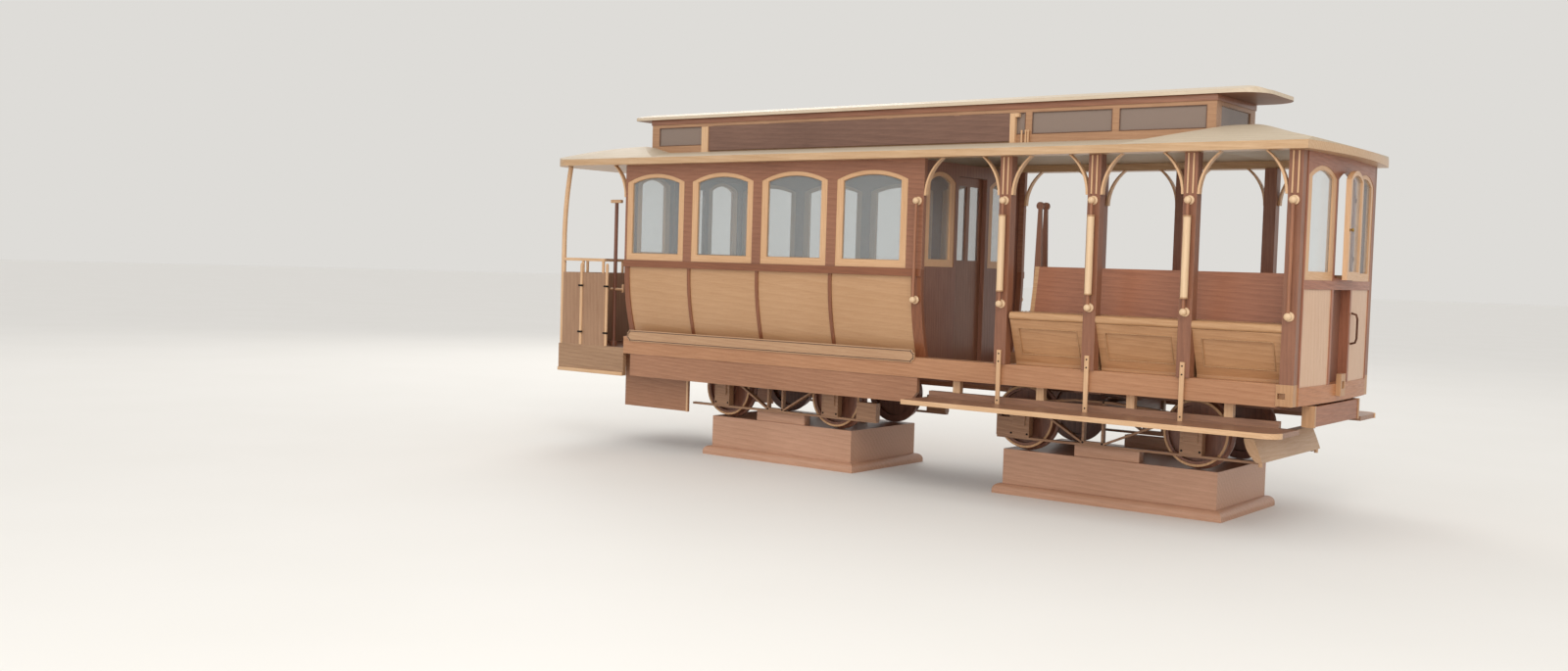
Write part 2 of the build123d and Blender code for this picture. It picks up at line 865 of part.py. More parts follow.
# Side framing: curved battens and corner posts under the belt rail
batten_spans = [(center - batten_width / 2, center + batten_width / 2) for center in batten_x]
batten_spans.append((cabin_rear, cabin_rear + rear_corner_width))
batten_spans.append((cabin_front - corner_post_width, cabin_front))
with BuildPart() as side_framing:
    for rear, front in batten_spans:
        with BuildSketch(Plane.YZ.offset(rear)):
            curved_band(-batten_overhang, panel_thickness + batten_overhang, sill_top)
        extrude(amount=front - rear)
    with BuildSketch(Plane.XY.offset(belt_bottom)):
        with Locations((cabin_rear, wall_inner)):
            Rectangle(cabin_front - cabin_rear, wall_thickness + belt_overhang, align=(Align.MIN, Align.MIN))
    extrude(amount=belt_height)
    mirror(about=Plane.XZ)
side_framing.part.label = "side_framing"
export_step(side_framing.part, "parts/side_framing.step")

# Window walls of the cabin, from the belt rail to the eave
with BuildPart() as window_walls:
    with BuildSketch(Plane.XZ.offset(wall_inner)):
        with Locations((cabin_rear, belt_top)):
            Rectangle(cabin_front - cabin_rear, eave_bottom - belt_top, align=(Align.MIN, Align.MIN))
        for center in window_x:
            arched_face(center, window_width, window_bottom, window_spring, window_rise, Mode.SUBTRACT)
    extrude(amount=wall_thickness)
    mirror(about=Plane.XZ)
window_walls.part.label = "window_walls"
export_step(window_walls.part, "parts/window_walls.step")

# Bulkheads at both ends of the cabin, each with a doorway, two windows and a door track
door_opening_half = door_width / 2 - door_lap
bulkhead_window_y = bulkhead_window_inner + bulkhead_window_width / 2
# rear face, place of the track
bulkhead_places = ((cabin_rear, cabin_rear + bulkhead_thickness),
                   (front_bulkhead_x, front_bulkhead_x - door_thickness - 2 * running_gap))
with BuildPart() as bulkheads:
    for rear, track_x in bulkhead_places:
        with BuildSketch(Plane.YZ.offset(rear)):
            with BuildLine():
                foot = [(curve_y(panel_thickness, height), height)
                        for height in (sill_top, (sill_top + belt_bottom) / 2, belt_bottom)]
                ThreePointArc(*foot)
                Polyline(foot[2], (wall_inner, eave_bottom), (-wall_inner, eave_bottom),
                         (-foot[2][0], foot[2][1]))
                ThreePointArc(*[(-y, z) for y, z in reversed(foot)])
                Polyline((-foot[0][0], sill_top), (-sill_inner, sill_top), (-sill_inner, floor_top),
                         (sill_inner, floor_top), (sill_inner, sill_top), foot[0])
            make_face()
            with Locations((0, floor_top)):
                Rectangle(2 * door_opening_half, door_top - door_lap - floor_top,
                          align=(Align.CENTER, Align.MIN), mode=Mode.SUBTRACT)
            for side in (-1, 1):
                arched_face(side * bulkhead_window_y, bulkhead_window_width, bulkhead_window_bottom,
                            window_spring, window_rise, Mode.SUBTRACT)
        extrude(amount=bulkhead_thickness)
        with BuildSketch(Plane.YZ.offset(track_x)):
            with Locations((-door_width / 2, door_top + running_gap)):
                Rectangle(door_width + door_travel, door_track_height, align=(Align.MIN, Align.MIN))
        extrude(amount=door_thickness + 2 * running_gap)
bulkheads.part.label = "bulkheads"
export_step(bulkheads.part, "parts/bulkheads.step")

# Sliding doors, each hung inside its bulkhead, with two tall panes
pane_width = (door_width - 2 * door_stile - door_muntin) / 2
pane_step = pane_width + door_muntin
# name, rear face of the leaf
doors = (("door_rear", cabin_rear + bulkhead_thickness + running_gap),
         ("door_front", front_bulkhead_x - door_thickness - running_gap))
for name, leaf_x in doors:
    with BuildPart() as door:
        with BuildSketch(Plane.YZ.offset(leaf_x)):
            with Locations((0, floor_top + door_clearance)):
                Rectangle(door_width, door_top - floor_top - door_clearance, align=(Align.CENTER, Align.MIN))
            with Locations((0, door_glass_bottom + door_glass_height / 2)):
                with GridLocations(pane_step, 0, 2, 1):
                    Rectangle(pane_width, door_glass_height, mode=Mode.SUBTRACT)
        extrude(amount=door_thickness)
    door.part.label = name
    export_step(door.part, f"parts/{name}.step")
    with BuildPart() as door_glass:
        with BuildSketch(Plane.YZ.offset(leaf_x + (door_thickness - glass_thickness) / 2)):
            with Locations((0, door_glass_bottom + door_glass_height / 2)):
                with GridLocations(pane_step, 0, 2, 1):
                    Rectangle(pane_width, door_glass_height)
        extrude(amount=glass_thickness)
    door_glass.part.label = f"{name}_glass"
    export_step(door_glass.part, f"parts/{name}_glass.step")

# Front wall: bowed framing with openings for two windows, the casement and the dash panels
front_window_inner = center_half + mullion_width
front_window_width = front_window_outer - front_window_inner
front_window_y = (front_window_inner + front_window_outer) / 2
with BuildPart() as front_wall:
    with BuildSketch(Plane.XY.offset(front_band_top)):
        bowed_face(post_inner, 0, front_wall_thickness)
    extrude(amount=eave_bottom - front_band_top)
    with BuildSketch(Plane.YZ.offset(corner_block_rear)):
        for side in (-1, 1):
            arched_face(side * front_window_y, front_window_width, window_bottom, window_spring, window_rise)
            with Locations((side * front_window_y, (front_band_top + belt_bottom) / 2)):
                Rectangle(front_window_width, belt_bottom - front_band_top)
        arched_face(0, 2 * center_half, window_bottom + leaf_opening_rise, window_spring, leaf_opening_arch)
        with Locations((0, (front_band_top + belt_bottom) / 2)):
            Rectangle(2 * center_half, belt_bottom - front_band_top)
    extrude(amount=front_x - corner_block_rear + cut_margin, mode=Mode.SUBTRACT)
    with BuildSketch(Plane.XY.offset(front_band_top)):
        for side in (-1, 1):
            with Locations((front_back, side * (center_half + mullion_width / 2))):
                Rectangle(front_wall_thickness, mullion_width, align=(Align.MIN, Align.CENTER))
    extrude(amount=belt_top - front_band_top)
    for height in hinge_heights:
        with BuildSketch(Plane.XY.offset(height - knuckle_height)):
            with Locations((front_x + hinge_standoff, hinge_y)):
                Circle(hinge_radius)
            with Locations((bow_x(hinge_y) - hinge_root, hinge_y)):
                Rectangle(front_x + hinge_standoff - bow_x(hinge_y) + hinge_root, 2 * hinge_radius,
                          align=(Align.MIN, Align.CENTER))
        extrude(amount=knuckle_height)
        with BuildSketch(Plane.XY.offset(height)):
            with Locations((front_x + hinge_standoff, hinge_y)):
                Circle(hinge_pin_radius)
        extrude(amount=knuckle_height)
front_wall.part.label = "front_wall"
export_step(front_wall.part, "parts/front_wall.step")

# Light dash panels set back a little in the front framing
with BuildPart() as front_dash:
    with BuildSketch(Plane.XY.offset(front_band_top)):
        bowed_face(front_window_outer, front_panel_inset, front_panel_thickness)
    extrude(amount=belt_bottom - front_band_top)
    with BuildSketch(Plane.YZ.offset(corner_block_rear)):
        for side in (-1, 1):
            with Locations((side * front_window_y, (front_band_top + belt_bottom) / 2)):
                Rectangle(front_window_width, belt_bottom - front_band_top)
    extrude(amount=front_x - corner_block_rear, mode=Mode.INTERSECT)
front_dash.part.label = "front_dash"
export_step(front_dash.part, "parts/front_dash.step")

# Panel of the low front door, well behind the dash
with BuildPart() as front_door_panel:
    with BuildSketch(Plane.YZ.offset(front_x - door_recess - door_panel_thickness)):
        with Locations((0, front_band_top)):
            Rectangle(2 * center_half, belt_top - front_band_top, align=(Align.CENTER, Align.MIN))
    extrude(amount=door_panel_thickness)
front_door_panel.part.label = "front_door_panel"
export_step(front_door_panel.part, "parts/front_door_panel.step")

# Bowed band under the front wall
with BuildPart() as front_band:
    with BuildSketch(Plane.XY.offset(front_band_bottom)):
        with BuildLine():
            ThreePointArc((bow_x(post_inner), -post_inner), (front_x, 0), (bow_x(post_inner), post_inner))
            Polyline((bow_x(post_inner), post_inner), (front_back, post_inner), (front_back, -post_inner),
                     (bow_x(post_inner), -post_inner))
        make_face()
    extrude(amount=front_band_top - front_band_bottom)
front_band.part.label = "front_band"
export_step(front_band.part, "parts/front_band.step")

# Buffer beam across the ends of the centre sills
with BuildPart() as buffer_beam:
    with BuildSketch(Plane.XY.offset(buffer_bottom)):
        with Locations((front_back, 0)):
            Rectangle(buffer_depth, 2 * buffer_half_width, align=(Align.MIN, Align.CENTER))
    extrude(amount=buffer_height)
buffer_beam.part.label = "buffer_beam"
export_step(buffer_beam.part, "parts/buffer_beam.step")

# Fixed sashes of the sides, the bulkheads and the front, all light frames with an arched head
front_bulkhead_sash = front_bulkhead_x + (bulkhead_thickness - sash_thickness) / 2
rear_bulkhead_sash = cabin_rear + (bulkhead_thickness - sash_thickness) / 2
with BuildPart() as sashes:
    with BuildSketch(Plane.XZ.offset(half_width - sash_inset - sash_thickness)):
        for center in window_x:
            arched_face(center, window_width, window_bottom, window_spring, window_rise)
        for center in window_x:
            arched_glass(center, window_width, window_bottom, window_spring, window_rise, Mode.SUBTRACT)
    extrude(amount=sash_thickness)
    mirror(about=Plane.XZ)
    for sash_x in (rear_bulkhead_sash, front_bulkhead_sash):
        with BuildSketch(Plane.YZ.offset(sash_x)):
            for side in (-1, 1):
                arched_face(side * bulkhead_window_y, bulkhead_window_width, bulkhead_window_bottom,
                            window_spring, window_rise)
                arched_glass(side * bulkhead_window_y, bulkhead_window_width, bulkhead_window_bottom,
                             window_spring, window_rise, Mode.SUBTRACT)
        extrude(amount=sash_thickness)
sashes.part.label = "sashes"
export_step(sashes.part, "parts/sashes.step")

# Sashes of the bowed front
with BuildPart() as front_sashes:
    with BuildSketch(Plane.XY.offset(window_bottom)):
        bowed_face(front_window_outer, sash_inset, sash_thickness)
    extrude(amount=window_crown - window_bottom)
    with BuildSketch(Plane.YZ.offset(corner_block_rear)):
        for side in (-1, 1):
            arched_face(side * front_window_y, front_window_width, window_bottom, window_spring, window_rise)
            arched_glass(side * front_window_y, front_window_width, window_bottom,
                         window_spring, window_rise, Mode.SUBTRACT)
    extrude(amount=front_x - corner_block_rear + cut_margin, mode=Mode.INTERSECT)
front_sashes.part.label = "front_sashes"
export_step(front_sashes.part, "parts/front_sashes.step")

# Window glass of the sides, bulkheads and front
glass_inset = sash_inset + (sash_thickness - glass_thickness) / 2
with BuildPart() as window_glass:
    with BuildSketch(Plane.XY.offset(window_bottom)):
        bowed_face(front_window_outer, glass_inset, glass_thickness)
    extrude(amount=window_crown - window_bottom)
    with BuildSketch(Plane.YZ.offset(corner_block_rear)):
        for side in (-1, 1):
            arched_glass(side * front_window_y, front_window_width, window_bottom, window_spring, window_rise)
    extrude(amount=front_x - corner_block_rear + cut_margin, mode=Mode.INTERSECT)
    with BuildSketch(Plane.XZ.offset(half_width - glass_inset - glass_thickness)):
        for center in window_x:
            arched_glass(center, window_width, window_bottom, window_spring, window_rise)
    extrude(amount=glass_thickness)
    mirror(about=Plane.XZ)
    for sash_x in (rear_bulkhead_sash, front_bulkhead_sash):
        with BuildSketch(Plane.YZ.offset(sash_x + (sash_thickness - glass_thickness) / 2)):
            for side in (-1, 1):
                arched_glass(side * bulkhead_window_y, bulkhead_window_width, bulkhead_window_bottom,
                             window_spring, window_rise)
        extrude(amount=glass_thickness)
window_glass.part.label = "window_glass"
export_step(window_glass.part, "parts/window_glass.step")

# Casement leaf of the front, drawn from its hinge line and turned out by a few degrees
ajar = math.radians(leaf_ajar)
leaf_plane = Plane(origin=(front_x + hinge_standoff, hinge_y, 0), x_dir=(math.sin(ajar), -math.cos(ajar), 0),
                   z_dir=(-math.cos(ajar), -math.sin(ajar), 0))
leaf_center = hinge_radius + running_gap + leaf_width / 2
leaf_glass_width = leaf_width - 2 * leaf_stile
leaf_glass_bottom = leaf_bottom + sash_rail
with BuildPart() as casement:
    with BuildSketch(leaf_plane):
        arched_face(leaf_center, leaf_width, leaf_bottom, window_spring, leaf_arch)
        arched_face(leaf_center, leaf_glass_width, leaf_glass_bottom, window_spring,
                    leaf_arch - sash_head, Mode.SUBTRACT)
    extrude(amount=-leaf_thickness)
    for height in hinge_heights:
        with BuildSketch(Plane.XY.offset(height + seat_gap)):
            with Locations((front_x + hinge_standoff, hinge_y)):
                Circle(hinge_radius)
            with Locations(Location((front_x + hinge_standoff, hinge_y), leaf_ajar)):
                Rectangle(hinge_radius, 2 * hinge_radius + hinge_plate_lap, align=(Align.MIN, Align.MAX))
            with Locations((front_x + hinge_standoff, hinge_y)):
                Circle(hinge_pin_radius + running_gap, mode=Mode.SUBTRACT)
        extrude(amount=knuckle_height)
casement.part.label = "casement"
export_step(casement.part, "parts/casement.step")

with BuildPart() as casement_glass:
    with BuildSketch(leaf_plane.offset(-(leaf_thickness - glass_thickness) / 2)):
        arched_face(leaf_center, leaf_glass_width, leaf_glass_bottom, window_spring, leaf_arch - sash_head)
    extrude(amount=-glass_thickness)
casement_glass.part.label = "casement_glass"
export_step(casement_glass.part, "parts/casement_glass.step")

# Benches in the cabin: slatless seats on end boards, with a low back
cabin_seat_rear = cabin_rear + bulkhead_thickness + cabin_seat_clearance
cabin_seat_front = front_bulkhead_x - cabin_seat_clearance
cabin_seat_length = cabin_seat_front - cabin_seat_rear
with BuildPart() as cabin_benches:
    with BuildSketch(Plane.YZ.offset(cabin_seat_rear)):
        with Locations((cabin_seat_inner, cabin_seat_top)):
            Rectangle(cabin_seat_outer - cabin_seat_inner, board_thickness, align=(Align.MIN, Align.MAX))
        with Locations((cabin_seat_inner + board_thickness, floor_top)):
            Rectangle(board_thickness, cabin_seat_top - floor_top, align=(Align.MIN, Align.MIN))
        with Locations((cabin_seat_outer, cabin_seat_top - board_thickness)):
            Rectangle(board_thickness, cabin_back_top - cabin_seat_top + board_thickness,
                      align=(Align.MAX, Align.MIN))
    extrude(amount=cabin_seat_length)
    with BuildSketch(Plane.XY.offset(floor_top)):
        with Locations(((cabin_seat_rear + cabin_seat_front) / 2, cabin_seat_inner + board_thickness)):
            with GridLocations(cabin_seat_length / 2 - board_thickness / 2, 0, 3, 1):
                Rectangle(board_thickness, sill_inner - cabin_seat_inner - board_thickness,
                          align=(Align.CENTER, Align.MIN))
    extrude(amount=cabin_seat_top - board_thickness - floor_top)
    mirror(about=Plane.XZ)
cabin_benches.part.label = "cabin_benches"
export_step(cabin_benches.part, "parts/cabin_benches.step")

# Open section: posts from the sills to the eave
with BuildPart() as posts:
    with BuildSketch(Plane.XY.offset(sill_top)):
        for center in post_x:
            with Locations((center, half_width - post_depth)):
                Rectangle(post_width, post_depth, align=(Align.CENTER, Align.MIN))
    extrude(amount=eave_bottom - sill_top)
    mirror(about=Plane.XZ)
posts.part.label = "posts"
export_step(posts.part, "parts/posts.step")

# Grab rails on the posts: a pole between two knobs
corner_post_x = cabin_front - corner_post_width / 2
rail_y = half_width + rail_offset
with BuildPart() as grab_rails:
    for center in (corner_post_x, *post_x):
        with BuildSketch(Plane.XZ.offset(half_width)):
            with Locations((center, rail_low), (center, rail_high)):
                Circle(knob_radius)
        extrude(amount=rail_offset + rail_radius + knob_overhang)
        with BuildSketch(Plane.XY.offset(rail_low)):
            with Locations((center, -rail_y)):
                Circle(rail_radius)
        extrude(amount=rail_high - rail_low)
    mirror(about=Plane.XZ)
grab_rails.part.label = "grab_rails"
export_step(grab_rails.part, "parts/grab_rails.step")

# Wooden sleeves round the rails of the three middle posts
with BuildPart() as grab_sleeves:
    with BuildSketch(Plane.XY.offset(sleeve_low)):
        for center in post_x[:3]:
            with Locations((center, rail_y)):
                Circle(sleeve_radius)
                Circle(rail_radius + seat_gap, mode=Mode.SUBTRACT)
    extrude(amount=sleeve_high - sleeve_low)
    mirror(about=Plane.XZ)
grab_sleeves.part.label = "grab_sleeves"
export_step(grab_sleeves.part, "parts/grab_sleeves.step")

# Curved brackets from the posts out to the eave, and the two flat strips up each post between them
# edge of the post, side that the bracket leans to
bracket_edges = [(cabin_rear, -1), (cabin_front, 1), (post_x[-1] - post_width / 2, -1)]
for center in post_x[:3]:
    bracket_edges += [(center - post_width / 2, -1), (center + post_width / 2, 1)]
bracket_radius = (bracket_reach**2 + bracket_rise**2) / (2 * bracket_reach)
bracket_bow = bracket_radius - math.sqrt(bracket_radius**2 - (bracket_rise / 2) ** 2)
bracket_curve = ((0, 0), (bracket_bow, bracket_rise / 2), (bracket_reach, bracket_rise))
with BuildPart() as roof_brackets:
    with BuildSketch(Plane.XZ.offset(half_width - post_depth / 2)):
        for edge, side in bracket_edges:
            inner = [(edge + side * bow, bracket_foot + height) for bow, height in bracket_curve]
            outer = [(x + side * bracket_thickness, z) for x, z in reversed(inner)]
            with BuildLine() as outline:
                ThreePointArc(*inner)
                Line(inner[2], outer[0])
                ThreePointArc(*outer)
                Line(outer[2], inner[0])
            make_face(outline.edges())
    extrude(amount=post_depth / 2)
    with BuildSketch(Plane.XZ.offset(half_width)):
        for center in post_x:
            with Locations((center, (bracket_foot + eave_bottom) / 2)):
                with GridLocations(post_strip_spacing, 0, 2, 1):
                    Rectangle(post_strip_width, bracket_rise - 2 * post_strip_gap)
    extrude(amount=post_strip_thickness)
    mirror(about=Plane.XZ)
roof_brackets.part.label = "roof_brackets"
export_step(roof_brackets.part, "parts/roof_brackets.step")

# Bench frames: end and middle gables from the floor to the seat
bench_front = post_x[-1] - post_width / 2
gable_x = [bench_rear, post_x[1] - gable_thickness / 2, post_x[2] - gable_thickness / 2,
           bench_front - gable_thickness]
back_top = seat_top + back_rise
apron_outer = sill_face - apron_inset
apron_top = seat_top - seat_rail_height
apron_slope = (apron_top - apron_foot) / apron_inset


def back_y(height):
    """Distance from the middle of the bench back's face at a height."""
    return seat_inner - back_lean * (height - seat_top) / back_rise


with BuildPart() as bench_frames:
    for place in gable_x:
        with BuildSketch(Plane.YZ.offset(place)):
            with BuildLine():
                Polyline(
                    (back_y(seat_underside) - board_thickness, seat_underside),
                    (back_y(seat_underside) - board_thickness, floor_top),
                    (sill_inner, floor_top),
                    (sill_inner, sill_top),
                    (apron_outer - board_thickness, sill_top),
                    (apron_outer - board_thickness, apron_foot),
                    (post_inner, apron_foot + (post_inner - apron_outer + board_thickness) * apron_slope),
                    (post_inner, seat_underside),
                    close=True,
                )
            make_face()
        extrude(amount=gable_thickness)
    for place in (gable_x[0], gable_x[-1]):
        with BuildSketch(Plane.YZ.offset(place)):
            with BuildLine():
                Polyline(
                    (back_y(seat_underside) - board_thickness, seat_underside),
                    (back_y(seat_underside), seat_underside),
                    (back_y(back_top), back_top),
                    (back_y(back_top) - board_thickness, back_top),
                    close=True,
                )
            make_face()
        extrude(amount=gable_thickness)
    mirror(about=Plane.XZ)
bench_frames.part.label = "bench_frames"
export_step(bench_frames.part, "parts/bench_frames.step")

# Bench seats: long slats, and a deep rail along the edge between the posts, which ends in a round nose
bay_spans = ((bench_rear, post_x[1] - post_width / 2),
             (post_x[1] + post_width / 2, post_x[2] - post_width / 2),
             (post_x[2] + post_width / 2, bench_front))
seat_nose = sill_face + seat_nose_reach
with BuildPart() as bench_seats:
    with BuildSketch(Plane.XY.offset(seat_underside)):
        for index in range(slat_count):
            with Locations((bench_rear, slat_start + index * (slat_width + slat_gap))):
                Rectangle(bench_front - bench_rear, slat_width, align=(Align.MIN, Align.MIN))
    extrude(amount=slat_depth)
    with BuildSketch(Plane.XY.offset(seat_top - seat_rail_height)):
        for rear, front in bay_spans:
            with Locations((rear, seat_nose)):
                Rectangle(front - rear, seat_rail_width + seat_nose_reach, align=(Align.MIN, Align.MAX))
    extrude(amount=seat_rail_height)
    nose_edges = bench_seats.edges().filter_by(Axis.X).filter_by_position(Axis.Y, seat_nose, seat_nose)
    fillet(nose_edges, radius=seat_nose_round)
    mirror(about=Plane.XZ)
bench_seats.part.label = "bench_seats"
export_step(bench_seats.part, "parts/bench_seats.step")

# Bench backs, leaning in towards the aisle
with BuildPart() as bench_backs:
    with BuildSketch(Plane.YZ.offset(bench_rear + gable_thickness)):
        with BuildLine():
            Polyline(
                (back_y(seat_underside) - board_thickness, seat_underside),
                (back_y(seat_underside), seat_underside),
                (back_y(back_top), back_top),
                (back_y(back_top) - board_thickness, back_top),
                close=True,
            )
        make_face()
    extrude(amount=bench_front - bench_rear - 2 * gable_thickness)
    mirror(about=Plane.XZ)
bench_backs.part.label = "bench_backs"
export_step(bench_backs.part, "parts/bench_backs.step")

# Slanting aprons under the seats, one between each two posts, each a frame round a sunk field
field_low = apron_foot + apron_frame
field_high = apron_top - apron_frame


def apron_y(height):
    """Distance from the middle of the slanting face at a height."""
    return apron_outer + (height - apron_foot) / apron_slope


with BuildPart() as bench_aprons:
    for rear, front in bay_spans:
        with BuildSketch(Plane.YZ.offset(rear)):
            with BuildLine():
                Polyline(
                    (apron_outer - board_thickness, sill_top),
                    (apron_outer, sill_top),
                    (apron_outer, apron_foot),
                    (sill_face, apron_top),
                    (sill_face - board_thickness, apron_top),
                    (apron_outer - board_thickness, apron_foot),
                    close=True,
                )
            make_face()
        extrude(amount=front - rear)
        with BuildSketch(Plane.YZ.offset(rear + apron_frame)):
            with BuildLine():
                Polyline(
                    (apron_y(field_low) - apron_field_depth, field_low),
                    (apron_y(field_low) + cut_margin, field_low),
                    (apron_y(field_high) + cut_margin, field_high),
                    (apron_y(field_high) - apron_field_depth, field_high),
                    close=True,
                )
            make_face()
        extrude(amount=front - rear - 2 * apron_frame, mode=Mode.SUBTRACT)
    mirror(about=Plane.XZ)
bench_aprons.part.label = "bench_aprons"
export_step(bench_aprons.part, "parts/bench_aprons.step")

# Running boards with a kick board along the inner edge
with BuildPart() as running_boards:
    with BuildSketch(Plane.XY.offset(running_top - running_thickness)):
        with Locations((running_rear, running_inner)):
            Rectangle(running_front - running_rear, running_edge - running_inner,
                      align=(Align.MIN, Align.MIN))
    extrude(amount=running_thickness)
    board_corners = running_boards.edges().filter_by(Axis.Z).group_by(Axis.Y)[-1]
    fillet(board_corners.sort_by(Axis.X)[-1], radius=running_round)
    with BuildSketch(Plane.XY.offset(running_top)):
        with Locations((running_rear, running_inner)):
            Rectangle(corner_block_rear - running_rear, kick_board_width, align=(Align.MIN, Align.MIN))
    extrude(amount=kick_board_top - running_top)
    mirror(about=Plane.XZ)
running_boards.part.label = "running_boards"
export_step(running_boards.part, "parts/running_boards.step")

# Hangers of the running boards: risers under the sills and flat straps on the posts
with BuildPart() as board_hangers:
    with BuildSketch(Plane.XY.offset(kick_board_top)):
        for center in riser_x:
            with Locations((center, running_inner)):
                Rectangle(riser_width, kick_board_width, align=(Align.CENTER, Align.MIN))
    extrude(amount=sill_bottom - kick_board_top)
    with BuildSketch(Plane.XZ.offset(half_width)):
        for center in post_x[:3]:
            with Locations((center, running_top)):
                Rectangle(strap_width, strap_top - running_top, align=(Align.CENTER, Align.MIN))
    extrude(amount=strap_thickness)
    mirror(about=Plane.XZ)
board_hangers.part.label = "board_hangers"
export_step(board_hangers.part, "parts/board_hangers.step")

# Rear platform: fascia boards round the edge of the floor
platform_length = cabin_rear - platform_rear
with BuildPart() as platform_fascia:
    with BuildSketch(Plane.XY.offset(fascia_bottom)):
        with Locations((platform_rear, 0)):
            Rectangle(platform_length, 2 * sill_face, align=(Align.MIN, Align.CENTER))
        with Locations((platform_rear + fascia_thickness, 0)):
            Rectangle(platform_length, 2 * (sill_face - fascia_thickness),
                      align=(Align.MIN, Align.CENTER), mode=Mode.SUBTRACT)
    extrude(amount=floor_top - fascia_bottom)
platform_fascia.part.label = "platform_fascia"
export_step(platform_fascia.part, "parts/platform_fascia.step")

# Rear dash: a board on each side of the platform and one across the end, between the corner posts
dash_side_rear = rear_post_x + rear_post_radius
with BuildPart() as rear_dash:
    with BuildSketch(Plane.XY.offset(floor_top)):
        for side in (-1, 1):
            with Locations((dash_side_rear, side * (sill_face - dash_thickness / 2))):
                Rectangle(entry_rear - dash_side_rear, dash_thickness, align=(Align.MIN, Align.CENTER))
        with Locations((rear_post_x, 0)):
            Rectangle(dash_thickness, 2 * (rear_post_y - rear_post_radius))
    extrude(amount=dash_top - floor_top)
rear_dash.part.label = "rear_dash"
export_step(rear_dash.part, "parts/rear_dash.step")

# Corner posts of the rear platform, bowed forward under the roof
rear_post_rise = eave_bottom - rear_post_bend
post_arc_radius = (rear_post_rise**2 + rear_post_lean**2) / (2 * rear_post_lean)
half_angle = math.asin(rear_post_rise / post_arc_radius) / 2
with BuildPart() as rear_posts:
    with BuildLine():
        Line((rear_post_x, rear_post_y, floor_top), (rear_post_x, rear_post_y, rear_post_bend))
        ThreePointArc(
            (rear_post_x, rear_post_y, rear_post_bend),
            (rear_post_x + post_arc_radius * (1 - math.cos(half_angle)), rear_post_y,
             rear_post_bend + post_arc_radius * math.sin(half_angle)),
            (rear_post_x + rear_post_lean, rear_post_y, eave_bottom),
        )
    with BuildSketch(Plane.XY.offset(floor_top)):
        with Locations((rear_post_x, rear_post_y)):
            Circle(rear_post_radius)
    sweep()
    with BuildSketch(Plane.XY.offset(eave_bottom)):
        Rectangle(4 * roof_half, 4 * roof_half, align=(Align.MAX, Align.CENTER))
    extrude(amount=4 * rear_post_radius, mode=Mode.SUBTRACT)
    mirror(about=Plane.XZ)
rear_posts.part.label = "rear_posts"
export_step(rear_posts.part, "parts/rear_posts.step")

# Rail round the rear platform, on pegs over the dash
rail_side_y = sill_face - dash_thickness / 2
peg_places = [(rear_post_x, y) for y in (-end_peg_y, 0, end_peg_y)]
peg_places += [(x, side * rail_side_y) for x in side_peg_x for side in (-1, 1)]
with BuildPart() as platform_rail:
    with BuildSketch(Plane.XY.offset(dash_top)):
        with Locations(*peg_places):
            Circle(peg_radius)
    extrude(amount=platform_rail_height - dash_top)
    with BuildSketch(Plane.XY.offset(platform_rail_height - platform_rail_radius)):
        for side in (-1, 1):
            with Locations((dash_side_rear, side * rail_side_y)):
                Rectangle(entry_rear - rail_end_gap - dash_side_rear, 2 * platform_rail_radius,
                          align=(Align.MIN, Align.CENTER))
        with Locations((rear_post_x, 0)):
            Rectangle(2 * platform_rail_radius, 2 * (rear_post_y - rear_post_radius))
    extrude(amount=2 * platform_rail_radius)
platform_rail.part.label = "platform_rail"
export_step(platform_rail.part, "parts/platform_rail.step")

# Brake staff of the rear platform, with its crank handle
with BuildPart() as brake_staff:
    with BuildSketch(Plane.XY.offset(floor_top)):
        with Locations((staff_x, -staff_y)):
            Circle(2 * staff_radius)
    extrude(amount=staff_collar_height)
    with BuildSketch(Plane.XY.offset(floor_top)):
        with Locations((staff_x, -staff_y)):
            Circle(staff_radius)
    extrude(amount=staff_top - floor_top)
    with BuildSketch(Plane.XY.offset(staff_top)):
        with Locations((staff_x, -staff_y)):
            SlotOverall(handle_length, 2 * staff_radius)
    extrude(amount=handle_thickness)
brake_staff.part.label = "brake_staff"
export_step(brake_staff.part, "parts/brake_staff.step")

# Boards hanging under the floor beside the rear steps
with BuildPart() as step_boards:
    with BuildSketch(Plane.XZ.offset(step_board_y - step_board_thickness)):
        with Locations((step_board_rear, step_board_bottom)):
            Rectangle(step_board_front - step_board_rear,
                      floor_bottom - body_bolster_tip_depth - step_board_bottom, align=(Align.MIN, Align.MIN))
    extrude(amount=step_board_thickness)
    mirror(about=Plane.XZ)
step_boards.part.label = "step_boards"
export_step(step_boards.part, "parts/step_boards.step")

# Eaves: the light board under the edge of the roof
with BuildPart() as eaves:
    with BuildSketch(Plane.XY.offset(eave_bottom)):
        add(roof_plan(roof_half, roof_end, roof_front_bow, roof_rear_round, roof_front_round))
        with Locations((cabin_rear + bulkhead_thickness, 0)):
            Rectangle(front_back - cabin_rear - bulkhead_thickness, 2 * roof_opening_half,
                      align=(Align.MIN, Align.CENTER), mode=Mode.SUBTRACT)
    extrude(amount=eave_thickness)
eaves.part.label = "eaves"
export_step(eaves.part, "parts/eaves.step")

# Lower roof: sloping shell with a hood at each end, open under the clerestory
well_length = clerestory_front - clerestory_rear - 2 * clerestory_wall
well_half = clerestory_half - clerestory_wall
